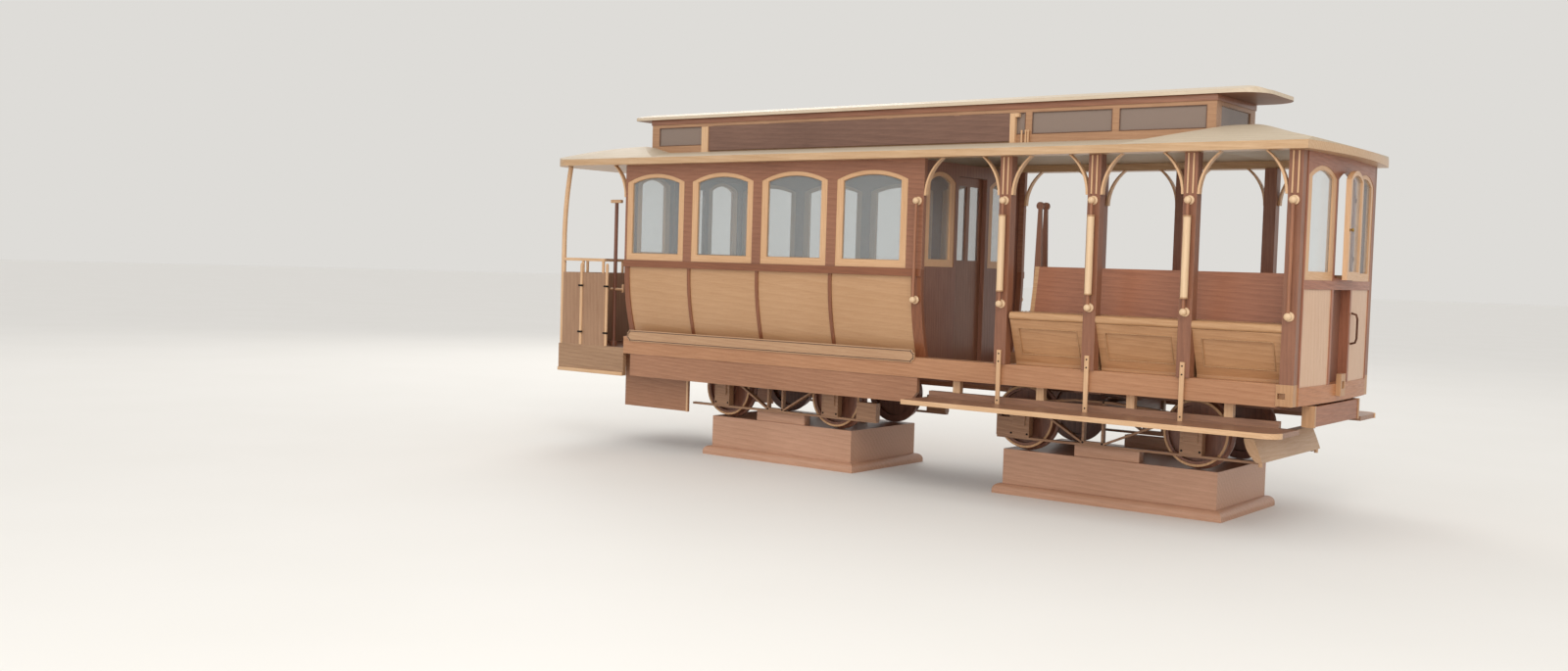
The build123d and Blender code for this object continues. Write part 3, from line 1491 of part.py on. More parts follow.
# end of the roof, foot of the swell, profile
hoods = ((1, front_hood_inset, front_hood), (-1, rear_hood_inset, rear_hood))
with BuildPart() as roof_lower:
    with BuildSketch(Plane.YZ.offset(-roof_end)):
        with BuildLine():
            ThreePointArc((-roof_half, roof_foot), (0, hood_crown), (roof_half, roof_foot))
            Line((roof_half, roof_foot), (-roof_half, roof_foot))
        make_face()
    extrude(amount=2 * roof_end)
    with BuildSketch(Plane.XZ.offset(-roof_half)):
        for end, foot_inset, profile in hoods:
            foot = end * (roof_end - foot_inset)
            hood = [(end * (roof_end - inset), roof_foot + rise) for inset, rise in profile]
            with BuildLine():
                Polyline((foot, roof_foot), hood[0], hood[1])
                ThreePointArc(*hood[1:])
                Polyline(hood[3], (end * roof_end, roof_foot), (foot, roof_foot))
            make_face()
    extrude(amount=2 * roof_half, mode=Mode.INTERSECT)
    with BuildSketch(Plane.XY.offset(roof_foot)):
        add(roof_plan(roof_half, roof_end, roof_front_bow, roof_rear_round, roof_front_round))
    with BuildSketch(Plane.XY.offset(roof_ledge)):
        add(roof_plan(roof_ledge_half, roof_end - roof_slope_run, roof_ledge_bow,
                      roof_ledge_round, roof_ledge_round))
    loft(ruled=True)
    with BuildSketch(Plane.XY.offset(roof_foot)):
        add(roof_plan(roof_half, roof_end, roof_front_bow, roof_rear_round, roof_front_round))
    extrude(amount=hood_crown - roof_foot + cut_margin, mode=Mode.INTERSECT)
    with BuildSketch(Plane.XY.offset(roof_ledge)):
        with Locations((clerestory_mid, 0)):
            Rectangle(clerestory_front - clerestory_rear, 2 * clerestory_half)
    extrude(amount=hood_crown - roof_ledge + cut_margin, mode=Mode.SUBTRACT)
    with BuildSketch(Plane.XY.offset(roof_foot)):
        with Locations((clerestory_mid, 0)):
            Rectangle(well_length, 2 * well_half)
    extrude(amount=roof_rise, mode=Mode.SUBTRACT)
    with BuildSketch(Plane.XY.offset(roof_foot)):
        with Locations((clerestory_mid, 0)):
            Rectangle(well_length, 2 * roof_opening_half)
    with BuildSketch(Plane.XY.offset(roof_ledge - roof_shell)):
        with Locations((clerestory_mid, 0)):
            Rectangle(well_length, 2 * (well_half + roof_opening_taper))
    loft(ruled=True, mode=Mode.SUBTRACT)
roof_lower.part.label = "roof_lower"
export_step(roof_lower.part, "parts/roof_lower.step")

# Clerestory walls with a row of openings on each side and one at each end
panes_length = clerestory_front - clerestory_rear - pane_rear_inset - pane_front_inset
pane_unit = (panes_length - pane_pier * (len(pane_shares) - 1)) / sum(pane_shares)
pane_spans = []
pane_start = clerestory_rear + pane_rear_inset
for share in pane_shares:
    pane_spans.append((pane_start, pane_start + share * pane_unit))
    pane_start += share * pane_unit + pane_pier
with BuildPart() as clerestory_walls:
    with BuildSketch(Plane.XY.offset(roof_ledge)):
        with Locations((clerestory_mid, 0)):
            Rectangle(clerestory_front - clerestory_rear, 2 * clerestory_half)
            Rectangle(well_length, 2 * well_half, mode=Mode.SUBTRACT)
    extrude(amount=clerestory_top - roof_ledge)
    with BuildSketch(Plane.XZ.offset(-clerestory_half)):
        for rear, front in pane_spans:
            with Locations((rear, pane_bottom)):
                Rectangle(front - rear, pane_height, align=(Align.MIN, Align.MIN))
    extrude(amount=2 * clerestory_half, mode=Mode.SUBTRACT)
    with BuildSketch(Plane.YZ.offset(clerestory_rear)):
        with Locations((0, pane_bottom)):
            Rectangle(2 * end_pane_half, pane_height, align=(Align.CENTER, Align.MIN))
    extrude(amount=clerestory_front - clerestory_rear, mode=Mode.SUBTRACT)
clerestory_walls.part.label = "clerestory_walls"
export_step(clerestory_walls.part, "parts/clerestory_walls.step")

# Panes of the clerestory
with BuildPart() as clerestory_glass:
    with BuildSketch(Plane.XZ.offset(clerestory_half - clerestory_wall / 2)):
        for rear, front in pane_spans:
            with Locations((rear, pane_bottom)):
                Rectangle(front - rear, pane_height, align=(Align.MIN, Align.MIN))
    extrude(amount=glass_thickness)
    mirror(about=Plane.XZ)
    for wall_x in (clerestory_rear, clerestory_front - clerestory_wall):
        with BuildSketch(Plane.YZ.offset(wall_x + (clerestory_wall - glass_thickness) / 2)):
            with Locations((0, pane_bottom)):
                Rectangle(2 * end_pane_half, pane_height, align=(Align.CENTER, Align.MIN))
        extrude(amount=glass_thickness)
clerestory_glass.part.label = "clerestory_glass"
export_step(clerestory_glass.part, "parts/clerestory_glass.step")

# Roof of the clerestory: a thin board under a low crown that dies away at the ends
top_roof_foot = clerestory_top + top_roof_edge
crown_foot = top_roof_foot - top_roof_lap
crown_top = top_roof_foot + top_roof_crown
with BuildPart() as clerestory_roof:
    with BuildSketch(Plane.YZ.offset(top_roof_rear)):
        with BuildLine():
            ThreePointArc((-top_roof_half, crown_foot), (0, crown_top), (top_roof_half, crown_foot))
            Line((top_roof_half, crown_foot), (-top_roof_half, crown_foot))
        make_face()
    extrude(amount=top_roof_front - top_roof_rear)
    with BuildSketch(Plane.XZ.offset(-top_roof_half)):
        with BuildLine():
            Polyline((top_roof_front - top_nose_run, crown_top + cut_margin),
                     (top_roof_rear + top_tail_run, crown_top + cut_margin),
                     (top_roof_rear, top_roof_foot + top_tail_rise), (top_roof_rear, crown_foot),
                     (top_roof_front, crown_foot))
            ThreePointArc((top_roof_front, crown_foot),
                          (top_roof_front - top_nose_middle[0], top_roof_foot + top_nose_middle[1]),
                          (top_roof_front - top_nose_run, crown_top + cut_margin))
        make_face()
    extrude(amount=2 * top_roof_half, mode=Mode.INTERSECT)
    with BuildSketch(Plane.XY.offset(clerestory_top)) as top_plan:
        with Locations((top_roof_rear, 0)):
            Rectangle(top_roof_front - top_roof_rear, 2 * top_roof_half, align=(Align.MIN, Align.CENTER))
        fillet(top_plan.vertices().group_by(Axis.X)[-1], radius=top_roof_round)
        fillet(top_plan.vertices().group_by(Axis.X)[0], radius=top_tail_round)
    extrude(amount=crown_top - clerestory_top + cut_margin, mode=Mode.INTERSECT)
    with BuildSketch(Plane.XY.offset(clerestory_top)):
        add(top_plan.sketch)
    extrude(amount=top_roof_edge)
clerestory_roof.part.label = "clerestory_roof"
export_step(clerestory_roof.part, "parts/clerestory_roof.step")

# Blank sign boards along the clerestory
with BuildPart() as sign_boards:
    with BuildSketch(Plane.XZ.offset(clerestory_half + sign_gap)):
        with Locations((sign_rear, sign_bottom)):
            Rectangle(sign_front - sign_rear, sign_top - sign_bottom, align=(Align.MIN, Align.MIN))
    extrude(amount=sign_thickness)
    mirror(about=Plane.XZ)
sign_boards.part.label = "sign_boards"
export_step(sign_boards.part, "parts/sign_boards.step")

# End brackets of the sign boards, the front one with a hook forward at its top
with BuildPart() as sign_brackets:
    with BuildSketch(Plane.XZ.offset(clerestory_half)):
        with Locations((sign_rear - sign_bracket_width, roof_ledge)):
            Rectangle(sign_bracket_width, sign_top - roof_ledge, align=(Align.MIN, Align.MIN))
        with Locations((sign_front, roof_ledge)):
            Rectangle(sign_hook_stem, sign_top - roof_ledge, align=(Align.MIN, Align.MIN))
        with Locations((sign_front, sign_top)):
            Rectangle(sign_bracket_width, sign_hook_height, align=(Align.MIN, Align.MAX))
    extrude(amount=roof_ledge_half - clerestory_half)
    mirror(about=Plane.XZ)
sign_brackets.part.label = "sign_brackets"
export_step(sign_brackets.part, "parts/sign_brackets.step")

# Grip lever and brake lever of the open section, on a common base
with BuildPart() as levers:
    with BuildSketch(Plane.XY.offset(floor_top)):
        with Locations((grip_x, 0)):
            Rectangle(lever_base_length, lever_base_width)
            SlotOverall(grip_slot_length, grip_slot_width, mode=Mode.SUBTRACT)
    extrude(amount=lever_base_thickness)
    for side in (-1, 1):
        with BuildSketch(Plane.XZ.offset(side * lever_spacing / 2 - lever_thickness / 2)):
            with BuildLine():
                Polyline(
                    (grip_x - lever_foot_half, floor_top + lever_base_thickness),
                    (grip_x - lever_top_half, lever_top),
                    (grip_x + lever_top_half, lever_top),
                    (grip_x + lever_foot_half, floor_top + lever_base_thickness),
                    close=True,
                )
            make_face()
            with Locations((grip_x, lever_top)):
                Circle(lever_knob_radius)
        extrude(amount=lever_thickness)
levers.part.label = "levers"
export_step(levers.part, "parts/levers.step")
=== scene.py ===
import math

import bmesh
import bpy
from mathutils import Matrix, Vector


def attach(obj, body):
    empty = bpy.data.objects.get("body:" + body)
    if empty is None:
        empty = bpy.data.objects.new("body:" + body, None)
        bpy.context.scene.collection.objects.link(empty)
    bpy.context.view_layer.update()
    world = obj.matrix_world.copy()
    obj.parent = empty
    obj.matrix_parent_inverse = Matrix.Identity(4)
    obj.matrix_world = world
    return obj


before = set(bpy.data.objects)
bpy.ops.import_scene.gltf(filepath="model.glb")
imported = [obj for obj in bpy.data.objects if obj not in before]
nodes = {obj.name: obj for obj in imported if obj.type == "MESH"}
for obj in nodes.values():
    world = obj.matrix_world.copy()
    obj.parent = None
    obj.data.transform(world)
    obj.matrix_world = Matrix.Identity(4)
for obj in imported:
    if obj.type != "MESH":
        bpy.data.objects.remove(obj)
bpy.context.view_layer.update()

# Camera: stands off the right front corner, a little over the height of the seats, and leans
# by under two degrees. Its place is in metres, its turns in degrees, film and lens in millimetres.
camera_place = (1.8993, -3.042, 0.5)
camera_turn, camera_dip, camera_lean = 37.36, 2.822, 1.705
film_width, focal_length, far_clip = 36, 33.508, 200
lens = bpy.data.cameras.new("camera")
lens.sensor_width = film_width
lens.lens = focal_length
lens.clip_end = far_clip
camera = bpy.data.objects.new("camera", lens)
camera.matrix_world = (
    Matrix.Translation(camera_place)
    @ Matrix.Rotation(math.radians(camera_turn), 4, "Z")
    @ Matrix.Rotation(math.radians(90 - camera_dip), 4, "X")
    @ Matrix.Rotation(math.radians(camera_lean), 4, "Z")
)
bpy.context.scene.collection.objects.link(camera)
bpy.context.scene.camera = camera

# Support blocks: hollow boxes of board with a maple veneer and a quarter-round moulding mitred
# round the foot, under a satin varnish. Two loose chocks stand on each, under the truck's bars.


def srgb(text):
    """The linear colour of an sRGB hex value."""
    parts = [int(text[place:place + 2], 16) / 255 for place in (1, 3, 5)]
    return (*[part / 12.92 if part <= 0.04045 else ((part + 0.055) / 1.055) ** 2.4
              for part in parts], 1)


def add(tree, kind, inputs=None, **settings):
    """Adds a node with its settings. An input is a value, or a socket to link from."""
    node = tree.nodes.new(kind)
    for key, value in settings.items():
        setattr(node, key, value)
    for key, value in (inputs or {}).items():
        if isinstance(value, bpy.types.NodeSocket):
            tree.links.new(value, node.inputs[key])
        else:
            node.inputs[key].default_value = value
    return node


# Growth bands lie a millimetre apart at a wave scale of 628. Streaks are 3 mm wide and pores
# 0.7 mm. All three are drawn out along the grain, to about 16 times their width. The tone drifts
# over some 200 mm.
band_scale, streak_scale, pore_scale, drift_scale = 628, 330, 1400, 5
band_weight, drift_weight, drawn_out = 0.3, 0.7, 0.06
# Edges are eased by under a millimetre and catch the light, where the varnish is thin
eased_radius, thin_varnish = 0.0009, "#E2BE94"


def wood(name, pale, deep, along, figure=10, strength=1.0, roughness=(0.36, 0.5), coat=0.25,
         underside_shade=None, rails=(), across="X"):
    """A varnished timber: a figure of pale and deep bands beneath a thin satin coat, with soft
    broad lights. Grain runs along one axis, and growth bands lie `figure` millimetres apart,
    about twice as coarse as real ones, so that they show. Rails of a frame are given by their
    lowest and highest level in millimetres, and their grain runs across. Faces that look down
    may take another tone, a darker one that is partly their own colour and partly painted shade."""
    material = bpy.data.materials.new(name)
    material.use_nodes = True
    tree = material.node_tree
    tree.nodes.clear()
    place = add(tree, "ShaderNodeTexCoord").outputs["Object"]
    ways = {axis: tuple(drawn_out if one == axis else 1 for one in "XYZ") for axis in "XYZ"}
    board = add(tree, "ShaderNodeMapping",
                {"Vector": place, "Scale": ways[along]}).outputs["Vector"]
    if rails:
        level = add(tree, "ShaderNodeSeparateXYZ", {0: place}).outputs["Z"]
        rail = add(tree, "ShaderNodeMapping",
                   {"Vector": place, "Scale": ways[across]}).outputs["Vector"]
    for low, high in rails:
        within = add(tree, "ShaderNodeMath",
                     {0: level, 1: (low + high) / 2000, 2: (high - low) / 2000},
                     operation="COMPARE").outputs[0]
        board = add(tree, "ShaderNodeMix", {0: within, 4: board, 5: rail},
                    data_type="VECTOR").outputs[1]
    bands = add(tree, "ShaderNodeTexWave",
                {"Vector": board, "Scale": band_scale / figure, "Distortion": 16, "Detail": 2,
                 "Detail Scale": 0.2},
                wave_type="BANDS", bands_direction="DIAGONAL", wave_profile="SAW").outputs["Fac"]
    streaks = add(tree, "ShaderNodeTexNoise",
                  {"Vector": board, "Scale": streak_scale, "Detail": 4,
                   "Roughness": 0.6}).outputs["Fac"]
    pores = add(tree, "ShaderNodeTexNoise",
                {"Vector": board, "Scale": pore_scale, "Detail": 2}).outputs["Fac"]
    drift = add(tree, "ShaderNodeTexNoise",
                {"Vector": place, "Scale": drift_scale, "Detail": 2}).outputs["Fac"]
    figured = add(tree, "ShaderNodeMath", {0: bands, 1: band_weight, 2: streaks},
                  operation="MULTIPLY_ADD").outputs[0]
    drifted = add(tree, "ShaderNodeMath", {0: drift, 1: drift_weight, 2: figured},
                  operation="MULTIPLY_ADD").outputs[0]
    tone = add(tree, "ShaderNodeMapRange",
               {"Value": drifted, "From Min": 0.65, "From Max": 1.35,
                "To Max": strength}).outputs["Result"]
    colour = add(tree, "ShaderNodeMix", {0: tone, 6: srgb(pale), 7: srgb(deep)},
                 data_type="RGBA").outputs[2]
    pore_dark = add(tree, "ShaderNodeMapRange",
                    {"Value": pores, "From Min": 0.62, "From Max": 0.75,
                     "To Max": 0.35}).outputs["Result"]
    colour = add(tree, "ShaderNodeMix", {0: pore_dark, 6: colour, 7: srgb(deep)},
                 data_type="RGBA", blend_type="MULTIPLY").outputs[2]
    face = add(tree, "ShaderNodeNewGeometry").outputs["Normal"]
    # Painted shade: faces that look down are mixed to the darker underside colour
    if underside_shade:
        down = add(tree, "ShaderNodeSeparateXYZ", {0: face}).outputs["Z"]
        down = add(tree, "ShaderNodeMath", {0: down, 1: -0.5}, operation="LESS_THAN").outputs[0]
        colour = add(tree, "ShaderNodeMix", {0: down, 6: colour, 7: srgb(underside_shade)},
                     data_type="RGBA").outputs[2]
    eased = add(tree, "ShaderNodeBevel", {"Radius": eased_radius}, samples=4).outputs["Normal"]
    turned = add(tree, "ShaderNodeVectorMath", {0: eased, 1: face},
                 operation="DOT_PRODUCT").outputs["Value"]
    rubbed = add(tree, "ShaderNodeMapRange",
                 {"Value": turned, "From Min": 0.985, "From Max": 0.8,
                  "To Max": 0.3}).outputs["Result"]
    colour = add(tree, "ShaderNodeMix", {0: rubbed, 6: colour, 7: srgb(thin_varnish)},
                 data_type="RGBA").outputs[2]
    gloss = add(tree, "ShaderNodeMapRange",
                {"Value": streaks, "From Min": 0.3, "From Max": 0.7, "To Min": roughness[0],
                 "To Max": roughness[1]}).outputs["Result"]
    relief = add(tree, "ShaderNodeBump",
                 {"Strength": 0.3, "Distance": 0.0003, "Height": figured, "Normal": eased})
    surface = add(tree, "ShaderNodeBsdfPrincipled",
                  {"Base Color": colour, "Roughness": gloss, "Normal": relief.outputs["Normal"],
                   "Coat Weight": coat, "Coat Roughness": 0.22})
    add(tree, "ShaderNodeOutputMaterial", {"Surface": surface.outputs["BSDF"]})
    return material


def dress(material, *names):
    """Gives nodes of the frame their finish."""
    for name in names:
        for slot in nodes[name].material_slots:
            slot.material = material


def block(bm, low, high, round_over=0.8):
    """A box between two corners, with its edges rounded over."""
    low, high = Vector(low), Vector(high)
    place = Matrix.Translation((low + high) / 2) @ Matrix.Diagonal((high - low).to_4d())
    place[3][3] = 1
    made = bmesh.ops.create_cube(bm, size=1, matrix=place)
    edges = {edge for vert in made["verts"] for edge in vert.link_edges}
    bmesh.ops.bevel(bm, geom=list(edges), offset=round_over, segments=2, profile=0.5,
                    affect="EDGES")


def both_sides(bm, along, across, up, round_over=0.8):
    """A box each side of the car, between the least and the most along, across and up."""
    for side in (-1, 1):
        inner, outer = sorted(side * place for place in across)
        block(bm, (along[0], inner, up[0]), (along[1], outer, up[1]), round_over)


# Edges that turn by more degrees than this stay sharp
crease = 35


def piece(name, bm, material, body):
    """Makes a mesh drawn in millimetres a finished piece that rides on a body."""
    bmesh.ops.remove_doubles(bm, verts=bm.verts, dist=1e-4)
    bmesh.ops.dissolve_degenerate(bm, edges=bm.edges, dist=1e-5)
    bmesh.ops.recalc_face_normals(bm, faces=bm.faces)
    bmesh.ops.scale(bm, vec=(0.001, 0.001, 0.001), verts=bm.verts)
    mesh = bpy.data.meshes.new(name)
    bm.to_mesh(mesh)
    bm.free()
    mesh.materials.append(material)
    mesh.shade_smooth()
    mesh.set_sharp_from_angle(angle=math.radians(crease))
    made = bpy.data.objects.new(name, mesh)
    bpy.context.scene.collection.objects.link(made)
    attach(made, body)


chock_middles, chock_half, chock_across, chock_up = (-319.5, 563.5), 75, (117, 141), (100, 128)
# Satin maple veneer: a pinkish pale brown with a wide, quiet figure
block_veneer = wood("maple_veneer_satin", "#CFA084", "#B98B6E", "X", figure=14)
dress(block_veneer, "block_rear", "block_front")
bm = bmesh.new()
for middle in chock_middles:
    both_sides(bm, (middle - chock_half, middle + chock_half), chock_across, chock_up, 1)
piece("chocks", bm, block_veneer, "car")

# Wheelsets: axle and wheels turned from mahogany, each wheel with a pale tyre ring let into its
# outer face and a moulded hub ring.
axle_height = 176.3
axles = {"wheelset_rear_1": -489.5, "wheelset_rear_2": -149.5,
         "wheelset_front_1": 366.5, "wheelset_front_2": 760.5}
# Distance from the middle of the car and radius, round each ring's section
tyre_ring = ((142.4, 64.6), (144.3, 64.6), (144.9, 65.4), (144.9, 69), (144.3, 69.8), (142.4, 69.8))
hub_ring = ((144.5, 10), (147.6, 10), (148.4, 11.4), (148.4, 13.8), (146.8, 15.4), (146.4, 18.2),
            (144.5, 19.4))


def turn(bm, section, centre, axis, steps=48):
    """Turns a closed section of (place along the axis, radius) about a line through a centre."""
    ways = {"X": (Vector((1, 0, 0)), Vector((0, 1, 0)), Vector((0, 0, 1))),
            "Y": (Vector((0, 1, 0)), Vector((0, 0, 1)), Vector((1, 0, 0))),
            "Z": (Vector((0, 0, 1)), Vector((1, 0, 0)), Vector((0, 1, 0)))}
    along, out, over = ways[axis]
    rings = []
    for step in range(steps):
        angle = 2 * math.pi * step / steps
        spoke = out * math.cos(angle) + over * math.sin(angle)
        rings.append([bm.verts.new(Vector(centre) + along * place + spoke * radius)
                      for place, radius in section])
    for here, there in zip(rings, rings[1:] + rings[:1]):
        for low in range(len(section)):
            high = (low + 1) % len(section)
            if section[low][1] or section[high][1]:
                bm.faces.new((here[low], here[high], there[high], there[low]))


def stretch(section, along, out=1):
    """A section made longer or thicker. A negative length turns it end for end."""
    return [(along * place, out * radius) for place, radius in section]


# Turned mahogany is a deep red brown with fine streaks, turned maple pale and even
wheel_wood = wood("mahogany_turned", "#86553F", "#653B2B", "Z", figure=16)
ring_wood = wood("maple_turned", "#CFA478", "#B4865C", "Z", figure=12)
dress(wheel_wood, *axles)
for body, axle_x in axles.items():
    bm = bmesh.new()
    for side in (-1, 1):
        for section in (tyre_ring, hub_ring):
            turn(bm, stretch(section, side), (axle_x, 0, axle_height), "Y")
    piece(f"wheel_rings_{body}", bm, ring_wood, body)

# Trucks: arch bars and columns of maple glued up flat over a bolster of cherry, with a hinged lid
# on each journal box and small dark bolts through the bars. The front truck carries the pilot
# board, of maple too.
truck_pivots = {"truck_rear": -319.5, "truck_front": 541}
truck_axles = {"truck_rear": (-489.5, -149.5), "truck_front": (366.5, 760.5)}
box_face, bar_face = 168, 165
box_low, box_high = 133, 205
bar_low_middle, bar_high_middle = 135.5, 224.5
# How far the bolts stand from the middle of a column and of a box, and from a box's edges
column_reach, box_reach, box_margin = 22.5, 19.5, 7
lid_face, hinge_height = 169.4, 191.5
# Place along the barrel and radius
hinge_barrel = ((-11, 0), (-11, 2.6), (11, 2.6), (11, 0))
bolt_width, bolt_stand = 5, 2.2


def start_tree(name, sizes):
    """Starts a Geometry Nodes tree that takes a mesh, named sizes and a finish."""
    tree = bpy.data.node_groups.new(name, "GeometryNodeTree")
    tree.interface.new_socket("Geometry", in_out="INPUT", socket_type="NodeSocketGeometry")
    for size in sizes:
        tree.interface.new_socket(size, in_out="INPUT", socket_type="NodeSocketFloat")
    tree.interface.new_socket("Finish", in_out="INPUT", socket_type="NodeSocketMaterial")
    tree.interface.new_socket("Geometry", in_out="OUTPUT", socket_type="NodeSocketGeometry")
    return tree, add(tree, "NodeGroupInput").outputs


def end_tree(tree, geometry, finish):
    """Ends a tree: instances made real, then the finish."""
    real = add(tree, "GeometryNodeRealizeInstances", {"Geometry": geometry}).outputs["Geometry"]
    done = add(tree, "GeometryNodeSetMaterial", {"Geometry": real, "Material": finish})
    add(tree, "NodeGroupOutput", {"Geometry": done.outputs["Geometry"]})


grown_crease = 40


def grow(name, bm, tree, sizes, body):
    """Runs a tree on points or paths drawn in millimetres, and keeps the result as a piece."""
    bmesh.ops.scale(bm, vec=(0.001, 0.001, 0.001), verts=bm.verts)
    drawn = bpy.data.meshes.new(f"{name}_drawn")
    bm.to_mesh(drawn)
    bm.free()
    made = bpy.data.objects.new(name, drawn)
    bpy.context.scene.collection.objects.link(made)
    modifier = made.modifiers.new("grow", "NODES")
    modifier.node_group = tree
    for item in tree.interface.items_tree:
        if item.name in sizes:
            modifier[item.identifier] = sizes[item.name]
    graph = bpy.context.evaluated_depsgraph_get()
    mesh = bpy.data.meshes.new_from_object(made.evaluated_get(graph))
    made.modifiers.remove(modifier)
    made.data = mesh
    mesh.shade_smooth()
    mesh.set_sharp_from_angle(angle=math.radians(grown_crease))
    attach(made, body)


# Fixings: a domed head on each point, square to the way that the point faces
fixings, given = start_tree("fixings", ("Head Width", "Head Height"))
ball = add(fixings, "GeometryNodeMeshUVSphere", {"Segments": 12, "Rings": 6, "Radius": 0.5})
head = add(fixings, "ShaderNodeCombineXYZ",
           {0: given["Head Width"], 1: given["Head Width"], 2: given["Head Height"]})
dome = add(fixings, "GeometryNodeTransform",
           {"Geometry": ball.outputs["Mesh"], "Scale": head.outputs[0]}).outputs["Geometry"]
facing = add(fixings, "GeometryNodeInputNamedAttribute", {"Name": "facing"},
             data_type="FLOAT_VECTOR")
aim = add(fixings, "FunctionNodeAlignRotationToVector", {"Vector": facing.outputs[0]}, axis="Z")
heads = add(fixings, "GeometryNodeInstanceOnPoints",
            {"Points": given["Geometry"], "Instance": dome, "Rotation": aim.outputs["Rotation"]})
end_tree(fixings, heads.outputs["Instances"], given["Finish"])


def fix(name, places, width, stand, finish, body):
    """Heads of bolts or screws at places, each given with the way that it faces. Width, and how
    far a head stands out, are in millimetres."""
    bm = bmesh.new()
    layer = bm.verts.layers.float_vector.new("facing")
    for place, way in places:
        bm.verts.new(place)[layer] = way
    grow(name, bm, fixings,
         {"Head Width": width / 1000, "Head Height": 2 * stand / 1000, "Finish": finish}, body)


# The surface of a metal is uneven over 8 mm, with fine scratches 0.5 mm wide
uneven_scale, scratch_scale = 120, 2000


def metal(name, colour, roughness):
    """A plain metal: soft, slightly patchy lights, brighter and duller by turns."""
    material = bpy.data.materials.new(name)
    material.use_nodes = True
    tree = material.node_tree
    tree.nodes.clear()
    place = add(tree, "ShaderNodeTexCoord").outputs["Object"]
    cloud = add(tree, "ShaderNodeTexNoise",
                {"Vector": place, "Scale": uneven_scale, "Detail": 3}).outputs["Fac"]
    scratches = add(tree, "ShaderNodeTexNoise",
                    {"Vector": place, "Scale": scratch_scale, "Detail": 2}).outputs["Fac"]
    gloss = add(tree, "ShaderNodeMapRange",
                {"Value": cloud, "To Min": roughness - 0.1,
                 "To Max": roughness + 0.1}).outputs["Result"]
    light, dark = srgb(colour), tuple(0.6 * part for part in srgb(colour)[:3]) + (1,)
    tone = add(tree, "ShaderNodeMix", {0: cloud, 6: light, 7: dark}, data_type="RGBA").outputs[2]
    relief = add(tree, "ShaderNodeBump", {"Strength": 0.2, "Distance": 0.0002, "Height": scratches})
    surface = add(tree, "ShaderNodeBsdfPrincipled",
                  {"Base Color": tone, "Metallic": 1, "Roughness": gloss,
                   "Normal": relief.outputs["Normal"]})
    add(tree, "ShaderNodeOutputMaterial", {"Surface": surface.outputs["BSDF"]})
    return material


# Varnished maple has gone golden brown on the bars and stays pale on the pilot. Cherry is redder.
# Blackened steel is nearly black, with a dull shine.
truck_wood = wood("maple_truck_varnished", "#AC8261", "#886044", "X", figure=9)
bolster_wood = wood("cherry_truck_varnished", "#8E5F46", "#724A36", "Y", figure=12)
pilot_wood = wood("maple_pilot_varnished", "#D9B38C", "#C89C74", "Y", figure=12)
bolt_steel = metal("blackened_steel", "#3A3431", 0.45)
dress(truck_wood, "truck_sides_rear", "truck_sides_front")
dress(bolster_wood, "truck_bolster_rear", "truck_bolster_front")
dress(pilot_wood, "pilot")
for body, pivot in truck_pivots.items():
    bm = bmesh.new()
    bolts = []
    for side in (-1, 1):
        out = (0, side, 0)
        for axle_x in truck_axles[body]:
            turn(bm, hinge_barrel, (axle_x, side * lid_face, hinge_height), "X", 16)
            for reach in (-box_reach, box_reach):
                for height in (box_low + box_margin, box_high - box_margin):
                    bolts.append(((axle_x + reach, side * box_face, height), out))
        for reach in (-column_reach, column_reach):
            for height in (bar_low_middle, bar_high_middle):
                bolts.append(((pivot + reach, side * bar_face, height), out))
    piece(f"lid_hinges_{body}", bm, bolt_steel, body)
    fix(f"bar_bolts_{body}", bolts, bolt_width, bolt_stand, bolt_steel, body)

# Underframe and floor: cherry beams and boards, glued. The maple sills along both edges carry the
# sides, with cherry skirt planks under the cabin. A pale strip closes the front edge of each step
# board.
strip_along, strip_across, strip_up = (-599, -593.5), (175, 183), (107, 243)
# Varnished cherry is a red brown, darker in the shade below, maple an orange tan. The strips are
# the palest maple, nearly without figure.
frame_wood = wood("cherry_frame_varnished", "#8A5D45", "#6E4735", "X")
sill_wood = wood("maple_sill_varnished", "#C08C66", "#A8744F", "X", figure=12)
skirt_wood = wood("cherry_skirt_varnished", "#B07E5E", "#956547", "X", figure=12)
corner_wood = wood("maple_blocks_varnished", "#C79A70", "#AE8058", "Z")
dress(frame_wood, "underframe", "floor")
dress(sill_wood, "sills")
dress(skirt_wood, "skirt_planks", "step_boards")
dress(corner_wood, "pocket_blocks")
trim_wood = wood("maple_trim_varnished", "#E3BC93", "#CEA277", "Z", figure=7)
strip_wood = wood("maple_strips_varnished", "#E3BC93", "#CEA277", "X", figure=7)
bm = bmesh.new()
both_sides(bm, strip_along, strip_across, strip_up)
piece("step_board_strips", bm, trim_wood, "car")

# Name boards: long blank boards of birch pinned to the sills, with a thin dark line inlaid
# inside the edge, which steps round the hollow corners.
inlay_inset, inlay_radius, board_least = 3.4, 1.2, 800
# Varnished birch is an even tan with a fine figure, and the walnut line reads as a dark edge
board_wood = wood("birch_boards_varnished", "#C59D78", "#B08562", "X", figure=9)
inlay_wood = wood("walnut_inlay", "#4A2F24", "#37221A", "X", figure=6)


def rims(node, facing, least=0.9):
    """Closed outlines, in millimetres, of the faces of a node that look one way."""
    bm = bmesh.new()
    bm.from_mesh(nodes[node].data)
    bmesh.ops.remove_doubles(bm, verts=bm.verts, dist=1e-5)
    bm.normal_update()
    chosen = {face for face in bm.faces if face.normal.dot(Vector(facing).normalized()) > least}
    left = {edge for edge in bm.edges if sum(face in chosen for face in edge.link_faces) == 1}
    loops = []
    while left:
        edge = left.pop()
        path = [edge.verts[0], edge.verts[1]]
        while path[0] is not path[-1]:
            more = next((edge for edge in path[-1].link_edges if edge in left), None)
            if more is None:
                break
            left.discard(more)
            path.append(more.other_vert(path[-1]))
        if path[0] is path[-1]:
            loops.append([vert.co * 1000 for vert in path[:-1]])
    bm.free()
    return loops


